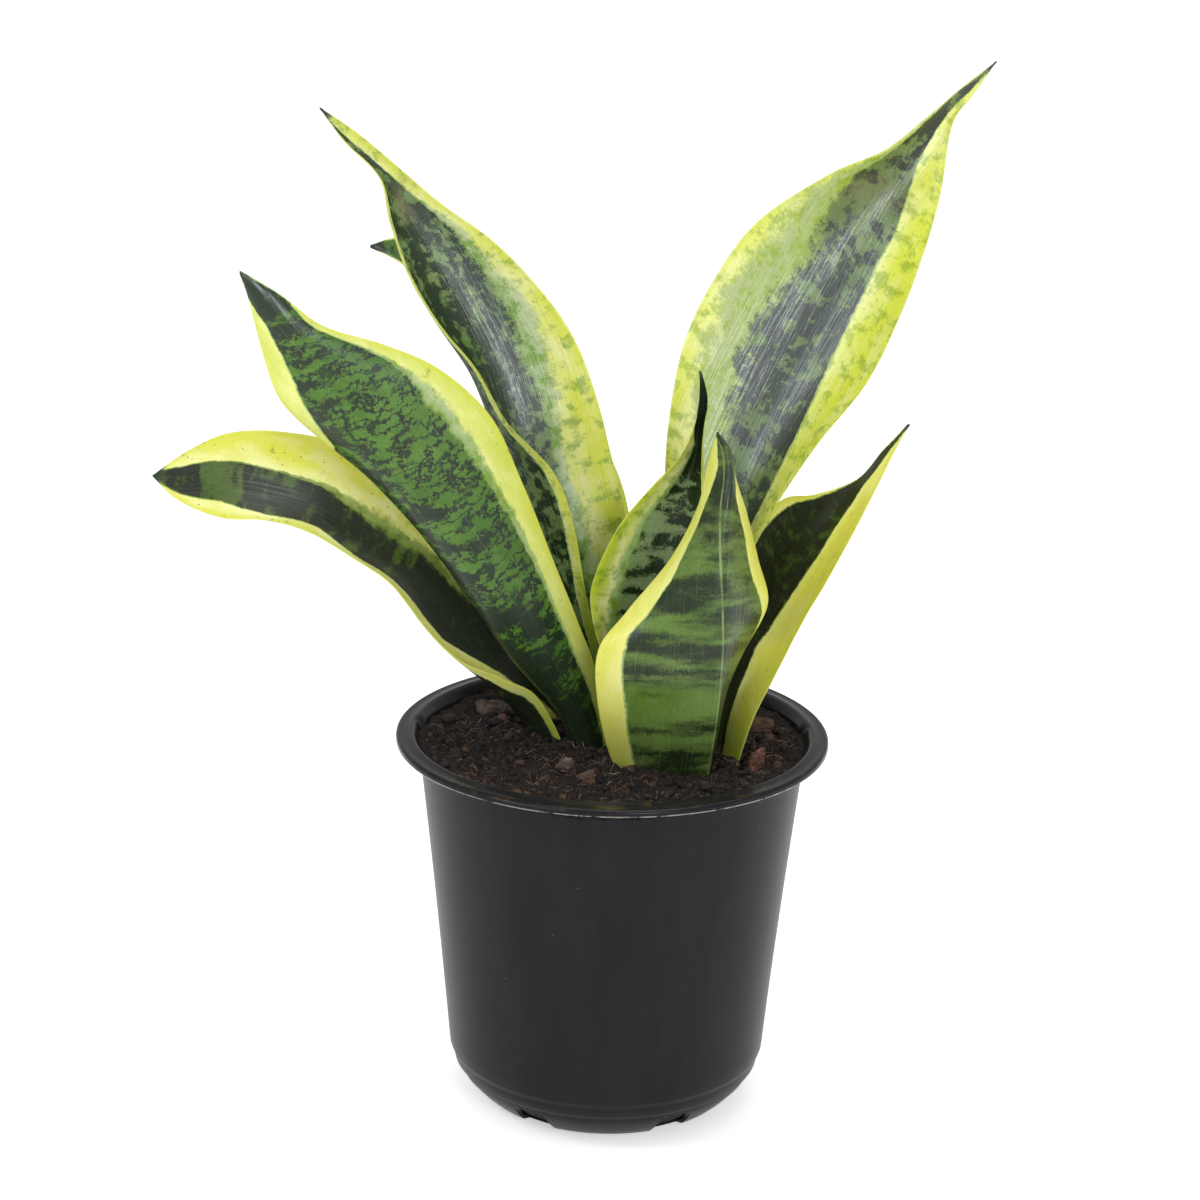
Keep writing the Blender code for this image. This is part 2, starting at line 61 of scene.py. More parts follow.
# Each leaf from foot to tip. A row is the left edge, the midrib and the right edge, in
# millimetres from the middle of the soil's surface, left and right as seen from the front.
LEAF_ROWS = {
    "leaf_front_left": (
        ((-9, 15, -23), (-7, 8, -23), (1, 8, -23)),
        ((-11, 16, -11), (-9, 5, -11), (1, 6, -11)),
        ((-24, 15, 15), (-17, 2, 14), (-6, 4, 27)),
        ((-40, 12, 35), (-31, -4, 35), (-14, 2, 50)),
        ((-57, 9, 60), (-44, -10, 59), (-24, -1, 76)),
        ((-74, 4, 85), (-59, -15, 85), (-35, -5, 105)),
        ((-93, -2, 107), (-74, -20, 109), (-47, -10, 132)),
        ((-113, -10, 125), (-89, -23, 130), (-65, -14, 150)),
        ((-124, -18, 140), (-104, -26, 149), (-85, -18, 160)),
        ((-130, -22, 161), (-118, -28, 165), (-107, -24, 168)),
        ((-133, -26, 176), (-128, -29, 178), (-122, -27, 180)),
        ((-136, -30, 188), (-136, -30, 188), (-136, -30, 189)),
    ),
    "leaf_low_left": (
        ((-15, 15, -23), (-20, 20, -23), (-13, 25, -23)),
        ((-16, 12, -11), (-24, 21, -11), (-14, 29, -11)),
        ((-28, 7, 16), (-35, 20, 5), (-24, 32, 7)),
        ((-41, 4, 25), (-42, 17, 15), (-32, 33, 20)),
        ((-58, 1, 33), (-51, 15, 28), (-40, 34, 34)),
        ((-70, -1, 45), (-63, 14, 44), (-53, 34, 54)),
        ((-84, -4, 65), (-77, 14, 63), (-68, 34, 76)),
        ((-99, -6, 76), (-93, 13, 78), (-83, 32, 94)),
        ((-115, -8, 86), (-110, 12, 91), (-104, 30, 109)),
        ((-130, -8, 90), (-129, 10, 98), (-126, 26, 115)),
        ((-147, -6, 90), (-147, 8, 102), (-146, 20, 116)),
        ((-163, -2, 95), (-163, 6, 102), (-161, 12, 111)),
        ((-174, 4, 103), (-174, 4, 103), (-174, 4, 103)),
    ),
    "leaf_back_left": (
        ((4, 14, -23), (3, 20, -23), (10, 20, -23)),
        ((2, 17, 0), (-3, 28, 0), (10, 31, 0)),
        ((-10, 16, 51), (-23, 34, 44), (8, 44, 48)),
        ((-16, 14, 83), (-32, 38, 75), (3, 48, 81)),
        ((-24, 16, 104), (-38, 42, 95), (-3, 50, 104)),
        ((-42, 20, 122), (-43, 46, 114), (-8, 50, 123)),
        ((-54, 26, 141), (-50, 51, 134), (-16, 53, 144)),
        ((-68, 32, 156), (-60, 55, 153), (-28, 56, 162)),
        ((-80, 42, 172), (-72, 60, 174), (-48, 60, 182)),
        ((-88, 54, 190), (-83, 65, 191), (-69, 64, 196)),
        ((-93, 64, 206), (-91, 70, 205), (-85, 70, 208)),
        ((-107, 72, 218), (-105, 75, 218), (-102, 74, 221)),
        ((-117, 78, 230), (-117, 78, 230), (-117, 78, 230)),
    ),
    "leaf_hidden_left": (
        ((12, 30, -23), (14, 32, -23), (18, 34, -23)),
        ((3, 43, 0), (9, 48, 0), (16, 50, 0)),
        ((-7, 53, 30), (2, 60, 28), (14, 63, 32)),
        ((-14, 60, 49), (-4, 68, 47), (8, 74, 56)),
        ((-20, 64, 67), (-9, 74, 66), (3, 84, 78)),
        ((-28, 68, 88), (-18, 78, 88), (-6, 87, 98)),
        ((-38, 72, 108), (-29, 82, 109), (-18, 89, 116)),
        ((-49, 76, 126), (-42, 85, 130), (-33, 91, 137)),
        ((-61, 80, 142), (-57, 88, 148), (-51, 93, 156)),
        ((-74, 84, 157), (-73, 91, 162), (-69, 96, 170)),
        ((-86, 90, 167), (-88, 94, 171), (-87, 98, 176)),
        ((-99, 96, 172), (-99, 96, 173), (-99, 96, 173)),
    ),
    "leaf_back_right": (
        ((23, 18, -23), (28, 20, -23), (31, 12, -23)),
        ((20, 22, 0), (31, 25, 0), (36, 11, 0)),
        ((20, 24, 19), (32, 28, 19), (37, 11, 19)),
        ((17, 30, 52), (33, 34, 45), (43, 10, 54)),
        ((18, 38, 84), (40, 40, 71), (53, 10, 80)),
        ((19, 46, 113), (50, 46, 96), (62, 14, 97)),
        ((24, 56, 143), (61, 56, 120), (77, 24, 117)),
        ((35, 63, 168), (73, 64, 143), (94, 34, 137)),
        ((52, 68, 191), (86, 72, 167), (106, 44, 160)),
        ((78, 70, 209), (99, 80, 192), (116, 62, 182)),
        ((101, 74, 219), (110, 86, 211), (123, 80, 202)),
        ((119, 84, 232), (123, 91, 229), (127, 90, 226)),
        ((132, 92, 242), (134, 95, 240), (135, 95, 237)),
        ((144, 98, 250), (144, 98, 250), (144, 98, 250)),
    ),
    "leaf_young_centre": (
        ((14, 5, -23), (18, 6, -23), (23, 3, -23)),
        ((8, 5, 0), (18, 9, 0), (28, 2, 0)),
        ((6, 5, 9), (18, 10, 9), (29, 2, 9)),
        ((-4, 4, 34), (11, 12, 26), (25, 0, 24)),
        ((-9, 5, 53), (12, 14, 46), (30, 0, 44)),
        ((-8, 6, 66), (15, 16, 64), (34, 2, 63)),
        ((1, 8, 86), (20, 18, 82), (36, 4, 82)),
        ((13, 10, 101), (25, 19, 97), (33, 7, 99)),
        ((23, 12, 112), (29, 20, 110), (32, 11, 111)),
        ((28, 15, 122), (30, 21, 120), (32, 15, 122)),
        ((30, 18, 132), (32, 22, 132), (33, 18, 133)),
        ((30, 22, 142), (30, 22, 143), (31, 22, 142)),
    ),
    "leaf_front_centre": (
        ((16, -11, -23), (30, -14, -23), (32, -6, -23)),
        ((9, -12, -11), (34, -19, -11), (36, -3, -11)),
        ((0, -17, 1), (36, -26, 7), (37, -1, 2)),
        ((-6, -26, 28), (38, -31, 29), (41, -2, 22)),
        ((-6, -26, 48), (39, -35, 50), (49, -7, 43)),
        ((4, -20, 61), (39, -36, 68), (57, -10, 62)),
        ((20, -14, 80), (39, -34, 86), (53, -6, 78)),
        ((29, -12, 98), (40, -31, 104), (48, -10, 97)),
        ((32, -13, 112), (41, -27, 115), (43, -12, 112)),
        ((34, -14, 122), (40, -22, 124), (41, -14, 122)),
        ((36, -14, 129), (36, -14, 129), (36, -14, 129)),
    ),
    "leaf_right": (
        ((39, 2, -23), (41, -3, -23), (43, -9, -23)),
        ((40, 8, 0), (44, -2, 0), (48, -13, 0)),
        ((41, 12, 18), (46, 1, 18), (53, -14, 18)),
        ((44, 18, 38), (51, 8, 38), (61, -13, 36)),
        ((45, 25, 56), (56, 13, 45), (70, -11, 55)),
        ((53, 29, 77), (64, 17, 59), (78, -8, 69)),
        ((63, 30, 91), (76, 19, 77), (86, -4, 84)),
        ((76, 25, 95), (86, 18, 90), (93, 1, 97)),
        ((91, 20, 103), (94, 15, 103), (99, 6, 108)),
        ((100, 15, 116), (101, 13, 116), (104, 9, 118)),
        ((108, 14, 126), (109, 14, 126), (109, 14, 126)),
    ),
}

LEAF_RINGS = 170
LEAF_CELLS = 40  # across the blade
# In millimetres: the blade's thickness in the middle and near its edges, and how far it ripples
LEAF_THICK, LEAF_EDGE, LEAF_WAVE = 2.6, 0.9, 0.5


def curve_weights(count, steps):
    """Catmull-Rom weights that turn rows of points into smoothly spaced ones."""
    places = np.linspace(0, count - 1, steps)
    first = np.minimum(places.astype(int), count - 2)
    t = places - first
    weights = np.zeros((steps, count))
    shares = (
        (-1, -0.5 * t + t**2 - 0.5 * t**3),
        (0, 1 - 2.5 * t**2 + 1.5 * t**3),
        (1, 0.5 * t + 2 * t**2 - 1.5 * t**3),
        (2, -0.5 * t**2 + 0.5 * t**3),
    )
    for shift, share in shares:
        column = np.clip(first + shift, 0, count - 1)
        np.add.at(weights, (np.arange(steps), column), share)
    return weights


def unit(vectors):
    return vectors / np.maximum(np.linalg.norm(vectors, axis=-1, keepdims=True), 1e-9)


def soft_noise(points, size, seed):
    """Smooth noise from -1 to 1 at each point, with features about one size across."""
    shift = Vector((seed * 17.3, seed * 7.1, seed * 3.7))
    flat = points.reshape(-1, 3)
    values = [noise.noise(Vector(p) / size + shift) for p in flat]
    return np.array(values).reshape(points.shape[:-1])


class Leaf:
    """The blade of one leaf: its surface, its thickness and the maps that its materials read."""

    def __init__(self, name):
        self.name = name
        self.look = LEAF_LOOKS[name]
        rows = np.array(LEAF_ROWS[name], float) * MM
        rows[..., 2] += SOIL_MIDDLE
        weights = curve_weights(len(rows), LEAF_RINGS + 1)
        left, middle, right = (weights @ rows[:, k] for k in range(3))
        self.u = np.linspace(0, 1, LEAF_RINGS + 1)
        self.v = np.sin(np.linspace(-1, 1, LEAF_CELLS + 1) * math.pi / 2)
        v = self.v[None, :, None]
        # Where a row is a point, the blade keeps a small width.
        half = (right - left) / 2
        width = np.linalg.norm(half, axis=1)
        least = np.where(self.u < 0.5, 2, 0.45) * MM
        half = half * np.maximum(1, least / np.maximum(width, 1e-6))[:, None]
        bow = (left + right) / 2 - middle
        sheet = middle[:, None] + half[:, None] * v + bow[:, None] * v * v
        # A folded leaf is flat from its keel to its right edge.
        creased = middle[:, None] + (half + bow)[:, None] * v
        fold = self.look["fold"]
        sheet = np.where(v > 0, sheet * (1 - fold) + creased * fold, sheet)
        along = unit(np.gradient(sheet, axis=0))
        across = unit(np.gradient(sheet, axis=1))
        self.out = unit(np.cross(across, along))
        # The margins ripple a little, and the whole blade is not quite even.
        seed = self.look["seed"]
        ripple = soft_noise(sheet, 22 * MM, seed) * 0.5 + soft_noise(sheet, 9 * MM, seed + 3) * 0.18
        calm = np.clip((self.u - 0.08) / 0.2, 0, 1) * np.clip((1 - self.u) / 0.08, 0, 1)
        wave = ripple * (0.35 + 0.65 * v[..., 0] ** 2) * calm[:, None] * LEAF_WAVE * MM
        self.sheet = sheet + self.out * wave[..., None]
        narrow = np.clip(np.linalg.norm(half, axis=1)[:, None] / (9 * MM), 0.25, 1)
        middle_thick = LEAF_THICK * (1.15 - 0.4 * self.u[:, None])
        body = LEAF_EDGE + (middle_thick - LEAF_EDGE) * (1 - self.v[None] ** 2)
        closing = np.sqrt(np.clip(1 - np.abs(self.v[None]) ** 22, 0, 1))
        self.half_thick = body * MM * narrow * closing / 2
        steps = np.linalg.norm(np.diff(self.sheet, axis=1), axis=2)
        self.run = np.concatenate([np.zeros((len(steps), 1)), np.cumsum(steps, axis=1)], axis=1)
        self.across = self.run - self.run[:, LEAF_CELLS // 2][:, None]
        climb = np.linalg.norm(np.diff(middle, axis=0), axis=1)
        self.along = np.concatenate([[0], np.cumsum(climb)])
        # A ring of points goes over the front from left to right, then back over the back.
        self.columns = np.concatenate([np.arange(LEAF_CELLS + 1), np.arange(LEAF_CELLS - 1, 0, -1)])
        self.is_front = np.arange(2 * LEAF_CELLS) <= LEAF_CELLS

    def place_at(self, pairs):
        """Distance along each ring, from the left edge, of a line given by (along, across) pairs."""
        places, values = zip(*pairs)
        at = np.interp(self.u, places, values)
        return np.array([np.interp(x, self.v, r) for x, r in zip(at, self.run)])[:, None]

    def faces(self):
        """The quads between the rings, one ring after another, and the faces at foot and tip."""
        size = len(self.columns)
        ring = np.arange(size)
        after = (ring + 1) % size
        base = (np.arange(LEAF_RINGS) * size)[:, None]
        quads = np.stack([base + ring, base + after, base + size + after, base + size + ring], axis=-1)
        last = LEAF_RINGS * size
        caps = []
        for j in range(LEAF_CELLS):
            corners = (j, j + 1, size - j - 1, (size - j) % size)
            tip = list(dict.fromkeys(corners))
            foot = tip[:1] + tip[:0:-1]
            caps += [foot, [last + c for c in tip]]
        return quads.reshape(-1, 4).tolist(), caps

    def maps(self):
        """What the materials read at each point: lengths along and across the blade, in metres,
        and shares."""
        size = len(self.columns)
        run = self.run[:, self.columns]
        sides = [self.look[key] or self.look["left"] for key in ("left", "right", "left_under")]
        edges = [self.place_at([(row[0], row[k]) for row in side]) for side in sides for k in (1, 2)]
        edges[:2] = [np.where(self.is_front, edges[k], edges[k + 4]) for k in (0, 1)]
        widths = [np.maximum(np.abs(edges[k + 1] - edges[k]), 0.7 * MM) for k in (0, 2)]
        place, across, radius = self.look["scar"]
        row = int(place * LEAF_RINGS)
        beside = run - np.interp(across, self.v, self.run[row])
        away = np.hypot(beside, (self.along - self.along[row])[:, None])
        light = np.interp(self.u, *zip(*self.look["light"]))[:, None]
        return {
            "left_in": run - edges[0],
            "right_in": edges[2] - run,
            "left_wide": widths[0],
            "right_wide": np.repeat(widths[1], size, axis=1),
            "rim": np.minimum(run, self.run[:, -1:] - run),
            "rise": np.repeat(self.u[:, None], size, axis=1),
            "rib": self.across[:, self.columns],
            "light": light + self.look["lean"] * self.v[self.columns],
            "scar": np.exp(-((away / (radius * MM)) ** 2)),
        }

    def unfold(self, mesh, quad_count):
        """One UV sheet for each side of the blade, so that a bake never overlaps."""
        size = len(self.columns)
        spots = np.zeros(len(mesh.loops), np.int32)
        mesh.loops.foreach_get("vertex_index", spots)
        row, column = spots // size, spots % size
        on_quads = np.arange(len(spots)) < quad_count * 4
        is_back = np.zeros(len(spots), bool)
        is_back[on_quads] = np.tile(np.repeat(np.arange(size) >= LEAF_CELLS, 4), LEAF_RINGS)
        uv = np.zeros((len(spots), 2), np.float32)
        uv[:, 0] = 0.02 + 0.46 * (self.v[self.columns][column] * 0.5 + 0.5) + np.where(is_back, 0.5, 0)
        uv[:, 1] = 0.02 + 0.94 * self.u[row]
        uv[~on_quads, 1] = 0.985 + 0.01 * (column[~on_quads] > LEAF_CELLS)
        layer = mesh.uv_layers.new(name="OFBake")
        layer.data.foreach_set("uv", uv.ravel())
        layer.active_render = True

    def build(self):
        """The mesh, with the front in its first material and the back in its second."""
        size = len(self.columns)
        lift = self.out * self.half_thick[..., None]
        back = (self.sheet - lift)[:, -2:0:-1]
        rings = np.concatenate([self.sheet + lift, back], axis=1)
        quads, caps = self.faces()
        mesh = new_mesh(self.name, rings.reshape(-1, 3).tolist(), quads + caps)
        for key, values in self.maps().items():
            layer = mesh.attributes.new(key, "FLOAT", "POINT")
            layer.data.foreach_set("value", values.astype(np.float32).ravel())
        flat = np.zeros((LEAF_RINGS + 1, size, 3), np.float32)
        flat[..., 0] = self.across[:, self.columns]
        flat[..., 1] = self.along[:, None]
        flat[..., 2] = self.is_front
        layer = mesh.attributes.new("flat", "FLOAT_VECTOR", "POINT")
        layer.data.foreach_set("vector", flat.ravel())
        self.unfold(mesh, len(quads))
        slots = np.zeros(len(mesh.polygons), np.int32)
        slots[: len(quads)] = np.tile(np.arange(size) >= LEAF_CELLS, LEAF_RINGS)
        mesh.polygons.foreach_set("material_index", slots)
        mesh.shade_smooth()
        return mesh


# ---------------------------------------------------------------- materials


class Value:
    """A number, place or colour that varies over a surface. Arithmetic on it adds Math nodes."""

    def __init__(self, nodes, socket):
        self.nodes = nodes
        self.socket = socket

    def __add__(self, other):
        return self.nodes.math("ADD", self, other)

    def __sub__(self, other):
        return self.nodes.math("SUBTRACT", self, other)

    def __mul__(self, other):
        return self.nodes.math("MULTIPLY", self, other)

    def __truediv__(self, other):
        return self.nodes.math("DIVIDE", self, other)

    def __abs__(self):
        return self.nodes.math("ABSOLUTE", self, 0)

    def least(self, other):
        return self.nodes.math("MINIMUM", self, other)

    def most(self, other):
        return self.nodes.math("MAXIMUM", self, other)

    def step(self, low, high, to_low=0, to_high=1):
        """A smooth step as the value goes from low to high."""
        settings = {"interpolation_type": "SMOOTHSTEP"}
        return self.nodes.made("ShaderNodeMapRange", settings, self, low, high, to_low, to_high)

    def stretch(self, scale, shift=(0, 0, 0)):
        """A place scaled and shifted along each axis."""
        return self.nodes.made("ShaderNodeVectorMath", {"operation": "MULTIPLY_ADD"}, self, scale, shift)


class Nodes:
    """A material's node tree, with a short call for each kind of node used here."""

    def __init__(self, name):
        self.material = bpy.data.materials.new(name)
        self.material.use_nodes = True
        self.tree = self.material.node_tree
        self.shader = self.tree.nodes["Principled BSDF"]

    def feed(self, socket, value):
        if isinstance(value, Value):
            self.tree.links.new(value.socket, socket)
        elif isinstance(value, tuple) and socket.type == "RGBA":
            socket.default_value = (*value, 1)
        else:
            socket.default_value = value

    def made(self, kind, settings, *values, output=0):
        """The output of a new node, with these values in its first sockets."""
        node = self.tree.nodes.new(kind)
        for key, value in settings.items():
            setattr(node, key, value)
        for socket, value in zip(node.inputs, values):
            self.feed(socket, value)
        return Value(self, node.outputs[output])

    def math(self, operation, first, second):
        return self.made("ShaderNodeMath", {"operation": operation}, first, second)

    def read(self, attribute, output="Fac"):
        return self.made("ShaderNodeAttribute", {"attribute_name": attribute}, output=output)

    def length(self, attribute):
        """A stored length, in millimetres."""
        return self.read(attribute) * (1 / MM)

    def place(self):
        """The place on the piece, in millimetres."""
        return self.made("ShaderNodeTexCoord", {}, output="Object").stretch((1 / MM,) * 3)

    def noise(self, place, size, detail=3, rough=0.55, warp=0):
        """Noise from 0 to 1 with features about one size across."""
        node = self.tree.nodes.new("ShaderNodeTexNoise")
        values = {"Vector": place, "Scale": 1 / size, "Detail": detail, "Roughness": rough}
        values["Distortion"] = warp
        for key, value in values.items():
            self.feed(node.inputs[key], value)
        return Value(self, node.outputs["Fac"])

    def cells(self, place, size):
        """Distance to the nearest of many scattered points, as a share of the size."""
        node = self.tree.nodes.new("ShaderNodeTexVoronoi")
        self.feed(node.inputs["Vector"], place)
        self.feed(node.inputs["Scale"], 1 / size)
        return Value(self, node.outputs["Distance"])

    def mix(self, share, first, second):
        node = self.tree.nodes.new("ShaderNodeMix")
        node.data_type = "RGBA"
        for socket, value in zip((node.inputs[0], node.inputs[6], node.inputs[7]), (share, first, second)):
            self.feed(socket, value)
        return Value(self, node.outputs[2])

    def bump(self, height, depth):
        node = self.tree.nodes.new("ShaderNodeBump")
        values = {"Strength": 1, "Distance": depth, "Height": height}
        for key, value in values.items():
            self.feed(node.inputs[key], value)
        self.tree.links.new(node.outputs[0], self.shader.inputs["Normal"])

    def finish(self, colour, roughness, **constants):
        self.feed(self.shader.inputs["Base Color"], colour)
        self.feed(self.shader.inputs["Roughness"], roughness)
        for key, value in constants.items():
            self.shader.inputs[key.replace("_", " ")].default_value = value
        return self.material


def rgb(red, green, blue):
    """A colour from its 0-255 screen values to the linear ones that a shader takes."""
    shares = (c / 255 for c in (red, green, blue))
    return tuple(((c + 0.055) / 1.055) ** 2.4 if c > 0.04045 else c / 12.92 for c in shares)


def darker(colour, share):
    return tuple(c * share for c in colour)


def leaf_look(**own):
    """A leaf's look: what most leaves share, and what is its own."""
    shared = dict(
        mid=rgb(76, 110, 34), mid2=rgb(92, 128, 50), dark=rgb(34, 48, 27), frost=rgb(162, 180, 126),
        leafy=rgb(116, 148, 42), yellow=rgb(214, 219, 76), cream=rgb(234, 235, 158),
        edge=rgb(206, 212, 60), light=((0, 0.45), (1, 0.45)), lean=0, patch=5, stretch=0.45,
        teeth=2.5, lines=False, soft=0.03, grain=0.5, marble=0.2, spots=0.3, keel=None, fold=0,
        left_under=None, scar=(0.5, 2, 1), tip=0.965, ridge=0.12, shine=0.3,
    )
    shared.update(own)
    return shared


